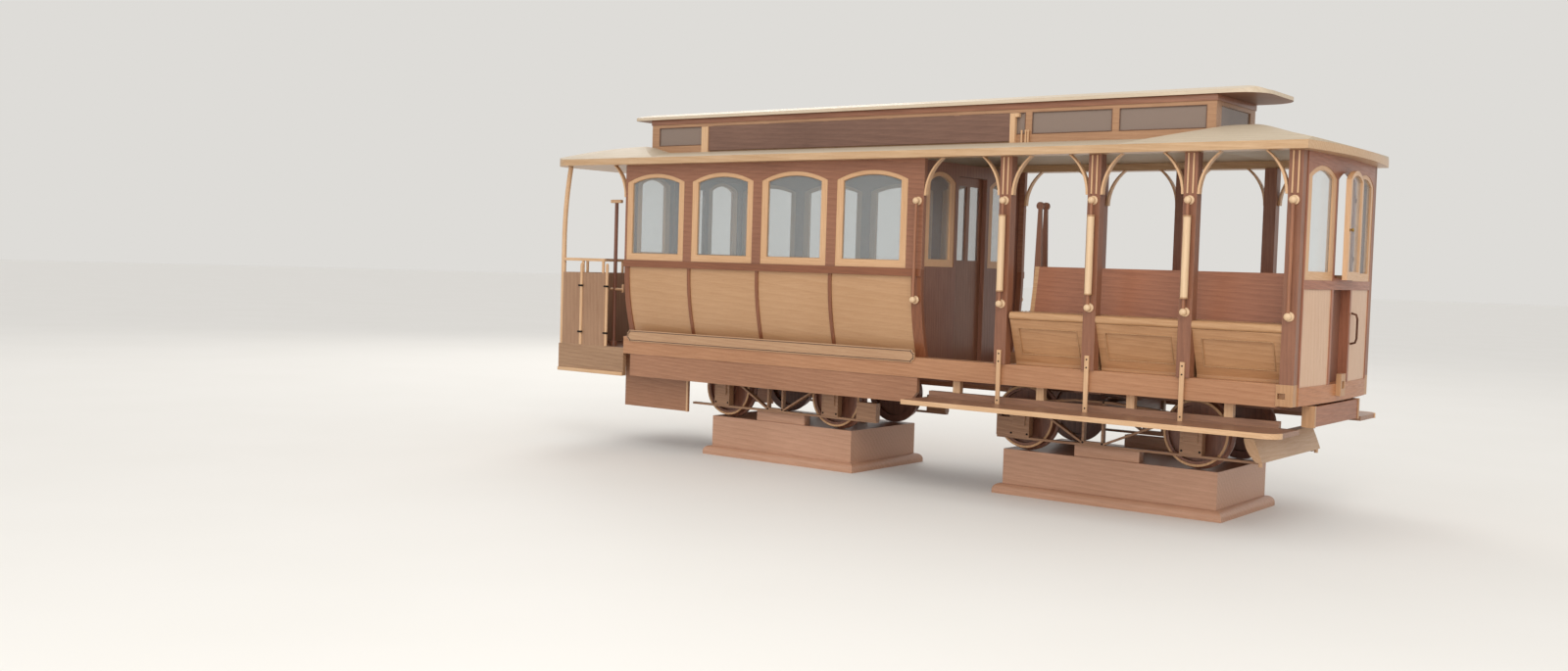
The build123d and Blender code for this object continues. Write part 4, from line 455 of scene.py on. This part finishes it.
def length(loop):
    """How long an outline is along the car."""
    return max(place.x for place in loop) - min(place.x for place in loop)


def inset(loop, amount):
    """A flat outline moved inwards by an amount."""
    normal = Vector()
    for here, there in zip(loop, loop[1:] + loop[:1]):
        normal += here.cross(there)
    normal.normalize()
    moved = []
    for before, here, after in zip(loop[-1:] + loop[:-1], loop, loop[1:] + loop[:1]):
        first = normal.cross(here - before).normalized()
        second = normal.cross(after - here).normalized()
        moved.append(here + (first + second) * amount / (1 + first.dot(second)))
    return moved


def paths(loops, closed=True):
    """A mesh of edges only, one run for each path."""
    bm = bmesh.new()
    for loop in loops:
        verts = [bm.verts.new(place) for place in loop]
        for here, there in zip(verts, verts[1:] + (verts[:1] if closed else [])):
            bm.edges.new((here, there))
    return bm


# Beads: a round moulding along each path
beads, given = start_tree("beads", ("Bead Radius",))
line = add(beads, "GeometryNodeMeshToCurve", {"Mesh": given["Geometry"]}).outputs["Curve"]
ring = add(beads, "GeometryNodeCurvePrimitiveCircle",
           {"Resolution": 8, "Radius": given["Bead Radius"]})
round_bead = add(beads, "GeometryNodeCurveToMesh",
                 {"Curve": line, "Profile Curve": ring.outputs["Curve"], "Fill Caps": True})
end_tree(beads, round_bead.outputs["Mesh"], given["Finish"])


def bead(name, loops, radius, finish, body, closed=True):
    """A bead along paths, as one piece."""
    grow(name, paths(loops, closed), beads,
         {"Bead Radius": radius / 1000, "Finish": finish}, body)


dress(board_wood, "name_boards")
outlines = []
for side in (-1, 1):
    for loop in rims("name_boards", (0, side, 0)):
        if length(loop) > board_least:
            outlines.append(inset(loop, inlay_inset))
bead("name_board_inlay", outlines, inlay_radius, inlay_wood, "car")

# Cabin sides: curved birch panels between mahogany battens, under a mahogany belt rail. The
# window walls above are mahogany boards cut out for the sashes.
belt = (480, 497)
# Varnished birch, cut flat: wide faint bands. Varnished mahogany: red brown, with straight streaks.
panel_wood = wood("birch_panels_varnished", "#C79C74", "#B6895F", "X", figure=16, strength=0.8)
batten_wood = wood("mahogany_battens_varnished", "#935A3A", "#79462A", "Z", rails=(belt,))
wall_wood = wood("mahogany_walls_varnished", "#A06C50", "#83533B", "X", figure=12)
dress(panel_wood, "side_panels")
dress(batten_wood, "side_framing")
dress(wall_wood, "window_walls")

# Sashes: maple frames with arched heads, each with a fine glazing bead round its pane. The panes
# are 2 mm acrylic sheet, clear and faintly blue; the pale tone also paints in milky reflections.
sash_rails = ((498.5, 516), (704, 725))
# The beads lie on the panes, round openings of these widths, in the outer faces of the sashes
opening_widths, outer_face, pane_face = (100, 175), 240, 237.5
glazing_radius, glazing_lift = 1.7, 0.6
# Varnished maple, fresh and fine: light golden. The beads are a tone browner and draw the opening.
sash_wood = wood("maple_sashes_varnished", "#DDB288", "#C7986C", "Z", figure=8, strength=0.8,
                 rails=sash_rails)
bead_wood = wood("maple_beads_varnished", "#C39A70", "#A87C56", "Z", figure=6)


def acrylic(name, tint_and_reflection, alpha):
    """Acrylic sheet, clear or smoked: nearly smooth, with sharp reflections and faint smears that
    show only in the gloss. On clear sheet the pale base colour is painted reflection as well."""
    material = bpy.data.materials.new(name)
    material.use_nodes = True
    tree = material.node_tree
    tree.nodes.clear()
    place = add(tree, "ShaderNodeTexCoord").outputs["Object"]
    smears = add(tree, "ShaderNodeTexNoise", {"Vector": place, "Scale": 14, "Detail": 4})
    gloss = add(tree, "ShaderNodeMapRange",
                {"Value": smears.outputs["Fac"], "From Min": 0.35, "From Max": 0.7, "To Min": 0.03,
                 "To Max": 0.14})
    surface = add(tree, "ShaderNodeBsdfPrincipled",
                  {"Base Color": srgb(tint_and_reflection), "Roughness": gloss.outputs["Result"], "IOR": 1.49,
                   "Alpha": alpha})
    add(tree, "ShaderNodeOutputMaterial", {"Surface": surface.outputs["BSDF"]})
    return material


# Painted reflection: the pale blue-grey base, seen at about a fifth, gives the milky look of
# reflections
window_acrylic = acrylic("acrylic_clear", "#C2CCCE", 0.22)
dress(window_acrylic, "window_glass", "door_rear_glass", "door_front_glass", "casement_glass")
dress(sash_wood, "sashes")
outlines = []
for side in (-1, 1):
    for loop in rims("sashes", (0, side, 0)):
        if abs(loop[0].y) > outer_face and opening_widths[0] < length(loop) < opening_widths[1]:
            outlines.append([Vector((place.x, side * (pane_face + glazing_lift), place.z))
                             for place in loop])
bead("side_glazing_beads", outlines, glazing_radius, bead_wood, "car")

# Bulkheads and their sliding doors: mahogany walls and lighter cherry doors, with a turned brass
# knob on the cabin side of each door.
knob_y, knob_height = -63, 470
# Face of each door and the way that it looks along the car
door_faces = (("door_rear", -754, 1), ("door_front", 110.5, -1))
# Place off the door and radius
knob = ((-1, 0), (-1, 5), (1, 5), (1.6, 2.4), (4, 2.2), (5.4, 5), (7.6, 6), (9.4, 5), (10.4, 2.6),
        (10.6, 0))
# Varnished mahogany, in shade: a cool red brown. Cherry is a tone warmer. Lacquered brass is a
# soft yellow that picks up the lamps.
bulkhead_wood = wood("mahogany_bulkheads_varnished", "#8F604A", "#744937", "Z", figure=12)
door_wood = wood("cherry_doors_varnished", "#96664A", "#7A4E38", "Z")
brass = metal("brass_lacquered", "#B08D4E", 0.32)
dress(bulkhead_wood, "bulkheads")
dress(door_wood, "door_rear", "door_front")
for body, face, way in door_faces:
    bm = bmesh.new()
    turn(bm, stretch(knob, way), (face, knob_y, knob_height), "X", 24)
    piece(f"knob_{body}", bm, brass, body)

# Benches of the cabin: one along each side, of maple boards glued on end boards, with a low back
# against the wall. Their varnished maple is a plain mid tan in the roof's shade.
seat_wood = wood("maple_seats_varnished", "#CBA178", "#B2855C", "X")
dress(seat_wood, "cabin_benches")

# Posts of the open section: mahogany, planted on the sills. The eave brackets and the two flat
# strips up each post between them are pale maple.
post_x = (351.5, 559, 766.5, 974)
# Varnished mahogany in the open light: a warm red brown, streaked up and down
post_wood = wood("mahogany_posts_varnished", "#99664B", "#7E503A", "Z")
dress(post_wood, "posts")
dress(trim_wood, "roof_brackets")

# Grab rails: turned mahogany poles held by a pale turned knob on a round foot at each end. The
# three in the middle carry a thick maple sleeve, closed by a thin ring at each end.
pole_x, pole_ends = (131.5, *post_x), (427, 650)
sleeve_y, sleeve_ends = 252, (455, 618)
# Place along the pole and radius
sleeve_ring = ((-1.6, 7), (-1.6, 7.9), (-0.6, 8.4), (0.6, 8.4), (1.6, 7.9), (1.6, 7))
# Distance from the middle of the car and radius: a foot on the post, a neck and a ball
rail_knob = ((241, 0), (241, 9.2), (243.4, 9.6), (244.8, 8.8), (245.8, 6.6), (247.4, 6.2),
             (249.5, 6.7), (252, 7.3), (255, 7.3), (257.2, 6.3), (258.9, 4.4), (259.8, 2.2),
             (260, 0))
# Turned mahogany is warm and fine. The sleeves' maple is nearly cream, the brightest wood here.
pole_wood = wood("mahogany_poles_turned", "#A9714F", "#8A573C", "Z", figure=7)
sleeve_wood = wood("maple_sleeves_turned", "#EACBA4", "#D6B088", "Z", figure=7, strength=0.7)
dress(pole_wood, "grab_rails")
dress(sleeve_wood, "grab_sleeves")
bm = bmesh.new()
knobs = bmesh.new()
for side in (-1, 1):
    for x in post_x[:3]:
        for height in sleeve_ends:
            turn(bm, sleeve_ring, (x, side * sleeve_y, height), "Z", 24)
    for x in pole_x:
        for height in pole_ends:
            turn(knobs, stretch(rail_knob, side), (x, 0, height), "Y", 24)
piece("sleeve_rings", bm, bead_wood, "car")
piece("rail_knobs", knobs, sleeve_wood, "car")

# Benches of the open section: maple slats screwed to gables, leaning backs of mahogany, and
# slanting aprons framed in maple, each with a fine bead round its sunk field.
slat_middles, gable_middles, seat_top = (158, 175, 192, 209), (376.5, 559, 766.5, 955), 411
slat_screw_width, slat_screw_stand = 4, 1.1
# The sunk field of an apron is found by the way that it slants and the level of its low edge
apron_slant, apron_least, field_low = -0.35, 0.92, 319
field_bead_inset, field_bead_radius = 1, 1.6
# Varnished maple is golden tan, a tone browner on the aprons. The backs' mahogany is light and red.
slat_wood = wood("maple_slats_varnished", "#CDA277", "#B4855B", "X")
apron_wood = wood("maple_aprons_varnished", "#C8996F", "#AE7F56", "X", figure=12)
back_wood = wood("mahogany_backs_varnished", "#AE7355", "#8F5A41", "X", figure=12)
dress(slat_wood, "bench_seats", "bench_frames")
dress(back_wood, "bench_backs")
dress(apron_wood, "bench_aprons")
screws = [((x, side * y, seat_top), (0, 0, 1))
          for side in (-1, 1) for x in gable_middles for y in slat_middles]
fix("slat_screws", screws, slat_screw_width, slat_screw_stand, brass, "car")
outlines = []
for side in (-1, 1):
    for loop in rims("bench_aprons", (0, side, apron_slant), apron_least):
        if abs(min(place.z for place in loop) - field_low) < 1:
            outlines.append(inset(loop, field_bead_inset))
bead("apron_beads", outlines, field_bead_radius, bead_wood, "car")

# Running boards: cherry boards with a pale lipping glued round the outer edge, as deep as the
# board, hung on maple risers and on flat straps screwed to the sills.
running_top, running_inner, running_thickness = 208.5, 217, 10
lipping_width, lipping_height = 4, 10.4
strap_face, strap_screw_heights = 246, (217, 302, 319)
strap_screw_width, strap_screw_stand = 3.8, 1
# Varnished cherry, worn by feet: a greyer brown than the rest
running_wood = wood("cherry_running_boards", "#A67B60", "#86604A", "X", figure=12)
dress(running_wood, "running_boards")
dress(trim_wood, "board_hangers")
edges = []
for side in (-1, 1):
    for loop in rims("running_boards", (0, 0, 1)):
        # The boards' own top, and not that of the kick boards on them
        if side * loop[0].y > 0 and abs(loop[0].z - running_top) < 0.5:
            # The loop is opened where it leaves the inner edge, so that the run is in one piece
            turns = [index for index, place in enumerate(loop) if abs(place.y) < running_inner]
            start = max(turns, key=lambda index: abs(loop[(index + 1) % len(loop)].y))
            run = loop[start + 1:] + loop[:start + 1]
            edges.append([place - Vector((0, 0, running_thickness / 2)) for place in run
                          if abs(place.y) > running_inner])
lipping, given = start_tree("lipping", ("Strip Width", "Strip Height"))
line = add(lipping, "GeometryNodeMeshToCurve", {"Mesh": given["Geometry"]}).outputs["Curve"]
line = add(lipping, "GeometryNodeSetCurveNormal", {"Curve": line}, mode="Z_UP").outputs["Curve"]
strip = add(lipping, "GeometryNodeCurvePrimitiveQuadrilateral",
            {"Width": given["Strip Width"], "Height": given["Strip Height"]}).outputs["Curve"]
strip = add(lipping, "GeometryNodeCurveToMesh",
            {"Curve": line, "Profile Curve": strip, "Fill Caps": True})
end_tree(lipping, strip.outputs["Mesh"], given["Finish"])
grow("running_board_lipping", paths(edges, closed=False), lipping,
     {"Strip Width": lipping_width / 1000, "Strip Height": lipping_height / 1000,
      "Finish": strip_wood}, "car")
screws = [((x, side * strap_face, height), (0, side, 0))
          for side in (-1, 1) for x in post_x[:3] for height in strap_screw_heights]
fix("strap_screws", screws, strap_screw_width, strap_screw_stand, bolt_steel, "car")

# Levers of the grip and the track brake: sawn and turned from mahogany like the rest, in a
# slotted base. Handling keeps them bright, a little lighter than the posts.
lever_wood = wood("mahogany_levers_varnished", "#A87358", "#8B5B43", "Z", figure=7)
dress(lever_wood, "levers")

# Front: bowed wall of mahogany framing with maple dash panels, a cherry band and buffer beam
# below, and the casement leaf on two hinges, with a turned brass catch. One panel has a dark bow
# handle.
header = (722, 745.5)
# The handle stands on the dash: place off it and height, round the bow
dash_face, handle_y, handle_radius = 995, 80, 2.3
handle_bow = ((0, 368), (10.4, 371), (13, 380), (13, 420), (10.4, 429), (0, 432))
# The catch is a door's knob made shorter and thinner
catch_place, catch_length, catch_girth = (1023.6, -54.5, 600), 0.8, 0.7
# The front is in full light: mahogany glows orange red, cherry orange, and the dash panels' maple
# is creamy with hardly a figure. Browned steel is a dark warm brown.
front_wood = wood("mahogany_front_varnished", "#AC6E51", "#8E563D", "Z", rails=(belt, header),
                  across="Y")
front_sash_wood = wood("maple_front_sashes_varnished", "#DDB288", "#C7986C", "Z", figure=8,
                       strength=0.8, rails=sash_rails, across="Y")
browned_steel = metal("browned_steel", "#6E4C3E", 0.4)
dash_wood = wood("maple_dash_varnished", "#DDB899", "#CDA382", "Z", figure=14, strength=0.8)
band_wood = wood("cherry_band_varnished", "#C58457", "#A86D45", "Y", figure=12)
beam_wood = wood("cherry_beam_varnished", "#A86843", "#8A5030", "Y", figure=12)
dress(front_wood, "front_wall")
dress(bulkhead_wood, "front_door_panel")
dress(dash_wood, "front_dash")
dress(band_wood, "front_band")
dress(beam_wood, "buffer_beam")
dress(front_sash_wood, "front_sashes", "casement")
handle = [(dash_face + off, handle_y, height) for off, height in handle_bow]
bead("dash_handle", [handle], handle_radius, browned_steel, "car", closed=False)
bm = bmesh.new()
turn(bm, stretch(knob, catch_length, catch_girth), catch_place, "X", 20)
piece("casement_catch", bm, brass, "front_casement")

# Rear platform: maple fascia and dash boards between bowed corner posts, with turned stanchions
# held by dark clips, a rail on pegs, and the brake staff with its pale handles.
staff_x, staff_y = -864.5, -182
head_half_along, head_half_across, head_low, head_high = 19, 5.5, 649.5, 658.5
# Place from the staff and radius: the crank's bar, and the knob that stands at its end
crank_height, crank_length = 417, 30
grip = ((-16, 0), (-16, 3.2), (-14, 3.8), (crank_length, 3.4), (crank_length, 0))
knob_bar = ((-8, 0), (-8, 2.6), (-6.5, 3.4), (12.5, 3.4), (14, 2.6), (14, 0))
# Place along the car and distance from its middle, then height and radius
stanchion_places = ((-935, 238), (-844.5, 233.5))
stanchion = ((265.2, 0), (265.2, 4.2), (480, 4.2), (484, 3.4), (486, 1.6), (486.4, 0))
clip_heights, clip_half, clip_rise, clip_gap, clip_thickness = (300, 425), 8.5, 2.5, 2, 3
moulding_along, moulding_across, moulding_up = (-1018.5, -775.5), (237, 241.5), (190.5, 200)
# Varnished maple in the car's own shade: a greyer tan. The staff's mahogany is dark and polished.
fascia_wood = wood("maple_fascia_varnished", "#B08B6A", "#957052", "X", figure=12)
rear_wood = wood("maple_dash_boards_varnished", "#AE8768", "#977053", "Z", figure=14)
staff_wood = wood("mahogany_staff_turned", "#8F5C46", "#714633", "Z")
dress(fascia_wood, "platform_fascia")
dress(rear_wood, "rear_dash")
dress(trim_wood, "rear_posts")
dress(strip_wood, "platform_rail")
dress(staff_wood, "brake_staff")
bm = bmesh.new()
block(bm, (staff_x - head_half_along, staff_y - head_half_across, head_low),
      (staff_x + head_half_along, staff_y + head_half_across, head_high), 2)
turn(bm, grip, (staff_x, staff_y, crank_height), "X", 20)
turn(bm, knob_bar, (staff_x + crank_length, staff_y, crank_height), "Z", 20)
piece("staff_handles", bm, strip_wood, "car")
stanchions = bmesh.new()
clips = bmesh.new()
for x, y in stanchion_places:
    for side in (-1, 1):
        turn(stanchions, stanchion, (x, side * y, 0), "Z", 16)
    for height in clip_heights:
        both_sides(clips, (x - clip_half, x + clip_half),
                   (y + clip_gap, y + clip_gap + clip_thickness),
                   (height - clip_rise, height + clip_rise))
strips = bmesh.new()
both_sides(strips, moulding_along, moulding_across, moulding_up, 1.2)
piece("stanchions", stanchions, trim_wood, "car")
piece("stanchion_clips", clips, bolt_steel, "car")
piece("fascia_strips", strips, strip_wood, "car")

# Eaves and lower roof: a varnished maple eave board all round, golden at its edge, and over it the
# roof boards and both hoods, rubbed down and finished matt: a greyish cream with a wide, faint
# figure.
eave_wood = wood("maple_eaves_varnished", "#D3B08A", "#BC956C", "X", figure=12)
roof_wood = wood("pale_roof_matt", "#CDBCA3", "#B8A68D", "X", figure=20, roughness=(0.5, 0.65),
                 coat=0.05, strength=0.8)
dress(eave_wood, "eaves")
dress(roof_wood, "roof_lower")

# Clerestory: maple walls with a row of blank panes in smoked acrylic sheet, each in a fine dark
# frame. A mahogany cornice strip is glued round the walls under the crowned top roof, which is
# pale above and brown below, that brown darkened with painted shade.
wall_rear, wall_front, wall_face = -805, 763, 112
# Only panes longer than this have a frame. The rest are the narrow ones across the ends.
pane_least, pane_frame_radius = 10, 1.4
cornice_depth, cornice_low, cornice_high = 2, 861.5, 874.9
# Varnished maple, an orange brown under the overhang. The top is paler and sleeker than the lower
# roof, and its downward faces take a brown that is partly their own and partly painted shade.
# Walnut frames are dark and thin, and smoked acrylic is a glossy taupe.
clerestory_wood = wood("maple_clerestory_varnished", "#BC906C", "#A57A58", "X", figure=12)
# Underside: a brown partly the roof's own, darkened as painted shade under the overhang
top_wood = wood("pale_top_roof_matt", "#DCCBB4", "#C8B59B", "X", figure=20, roughness=(0.45, 0.6),
                coat=0.1, strength=0.8, underside_shade="#8E654F")
pane_wood = wood("walnut_pane_frames", "#7A5542", "#614232", "X")
dress(clerestory_wood, "clerestory_walls")
dress(acrylic("acrylic_smoked", "#9A877B", 0.8), "clerestory_glass")
dress(top_wood, "clerestory_roof")


def solids(node):
    """Lowest and highest corner, in millimetres, of each solid of a node."""
    bm = bmesh.new()
    bm.from_mesh(nodes[node].data)
    bmesh.ops.remove_doubles(bm, verts=bm.verts, dist=1e-5)
    left = set(bm.verts)
    found = []
    while left:
        reached = [left.pop()]
        for vert in reached:
            for edge in vert.link_edges:
                other = edge.other_vert(vert)
                if other in left:
                    left.discard(other)
                    reached.append(other)
        low = [1000 * min(vert.co[axis] for vert in reached) for axis in range(3)]
        high = [1000 * max(vert.co[axis] for vert in reached) for axis in range(3)]
        found.append((low, high))
    bm.free()
    return sorted(found)


outlines = []
for low, high in solids("clerestory_glass"):
    if high[0] - low[0] > pane_least:
        y = math.copysign(wall_face, low[1])
        corners = ((low[0], low[2]), (high[0], low[2]), (high[0], high[2]), (low[0], high[2]))
        outlines.append([(x, y, z) for x, z in corners])
bead("clerestory_pane_frames", outlines, pane_frame_radius, pane_wood, "car")
bm = bmesh.new()
both_sides(bm, (wall_rear - cornice_depth, wall_front + cornice_depth),
           (wall_face, wall_face + cornice_depth), (cornice_low, cornice_high), 0.5)
for rear in (wall_rear - cornice_depth, wall_front):
    block(bm, (rear, -wall_face, cornice_low), (rear + cornice_depth, wall_face, cornice_high), 0.5)
piece("clerestory_cornice", bm, wall_wood, "car")

# Roof signs: blank mahogany boards along both sides of the clerestory, held by maple brackets,
# the front one hooked over. Three small pegs stand on the roof beside it.
peg_x, peg_y, peg_foot = (318, 328, 334), 117, 786
# Height over the foot and radius
peg = ((-1, 0), (-1, 2.2), (24, 2.2), (26, 3), (28, 2), (28.5, 0))
# Varnished mahogany, stained: a cool dark brown
sign_wood = wood("mahogany_signs_varnished", "#83604F", "#6B4B3D", "X", figure=14)
dress(sign_wood, "sign_boards")
dress(trim_wood, "sign_brackets")
bm = bmesh.new()
for side in (-1, 1):
    for x in peg_x:
        turn(bm, peg, (x, side * peg_y, peg_foot), "Z", 12)
piece("roof_pegs", bm, trim_wood, "car")

# Floor and light: a wide pale floor and an even pale sky. One broad soft lamp stands high on the
# right front, a weaker one low at the right, and a third behind the left rear.
floor_radius = 40
# Name, place in metres, width in metres and watts. All look at the middle of the car.
lamps = (("lamp_key", (2.6, -3.2, 3.4), 2.2, 62), ("lamp_low", (1.5, -4.0, 0.9), 2.2, 27),
         ("lamp_rear", (-3.2, 2.8, 3.2), 2.4, 56))
lamp_aim = Vector((0, 0, 0.4))
# Matt floor paint: even and off-white, with a faint cloudiness. The camera sees it a little lifted.
floor_paint = bpy.data.materials.new("studio_floor")
floor_paint.use_nodes = True
tree = floor_paint.node_tree
tree.nodes.clear()
place = add(tree, "ShaderNodeTexCoord").outputs["Object"]
cloud = add(tree, "ShaderNodeTexNoise", {"Vector": place, "Scale": 2}).outputs["Fac"]
tone = add(tree, "ShaderNodeMix", {0: cloud, 6: srgb("#E4E1DC"), 7: srgb("#DFDCD6")},
           data_type="RGBA")
paint = add(tree, "ShaderNodeBsdfPrincipled", {"Base Color": tone.outputs[2], "Roughness": 0.7})
lift = add(tree, "ShaderNodeEmission", {"Color": srgb("#F4F1EC"), "Strength": 0.1})
lifted = add(tree, "ShaderNodeAddShader", {0: paint.outputs["BSDF"], 1: lift.outputs["Emission"]})
seen = add(tree, "ShaderNodeLightPath").outputs["Is Camera Ray"]
floor_face = add(tree, "ShaderNodeMixShader",
                 {0: seen, 1: paint.outputs["BSDF"], 2: lifted.outputs["Shader"]})
add(tree, "ShaderNodeOutputMaterial", {"Surface": floor_face.outputs["Shader"]})
bm = bmesh.new()
bmesh.ops.create_circle(bm, cap_ends=True, radius=floor_radius, segments=64)
mesh = bpy.data.meshes.new("studio_floor")
bm.to_mesh(mesh)
bm.free()
mesh.materials.append(floor_paint)
studio_floor = bpy.data.objects.new("studio_floor", mesh)
bpy.context.scene.collection.objects.link(studio_floor)

# An even sky: a plain pale grey wherever it is seen, and a little dimmer and whiter as light
world = bpy.data.worlds.new("studio_sky")
bpy.context.scene.world = world
world.use_nodes = True
tree = world.node_tree
tree.nodes.clear()
ray = add(tree, "ShaderNodeLightPath").outputs
seen = add(tree, "ShaderNodeMath", {0: ray["Is Camera Ray"], 1: ray["Is Glossy Ray"]},
           operation="MAXIMUM")
seen = add(tree, "ShaderNodeMath", {0: seen.outputs[0], 1: ray["Is Transmission Ray"]},
           operation="MAXIMUM")
glow = add(tree, "ShaderNodeBackground", {"Color": srgb("#FFFFFF"), "Strength": 0.8})
backdrop = add(tree, "ShaderNodeBackground", {"Color": srgb("#DEDCD8"), "Strength": 1})
sky = add(tree, "ShaderNodeMixShader",
          {0: seen.outputs[0], 1: glow.outputs["Background"], 2: backdrop.outputs["Background"]})
add(tree, "ShaderNodeOutputWorld", {"Surface": sky.outputs["Shader"]})

for name, place, width, watts in lamps:
    lamp = bpy.data.lights.new(name, "AREA")
    lamp.size = width
    lamp.energy = watts
    lamp.color = srgb("#FFFCF7")[:3]
    made = bpy.data.objects.new(name, lamp)
    made.location = place
    made.rotation_euler = (lamp_aim - Vector(place)).to_track_quat("-Z", "Y").to_euler()
    bpy.context.scene.collection.objects.link(made)

bpy.context.scene.view_settings.view_transform = "Standard"
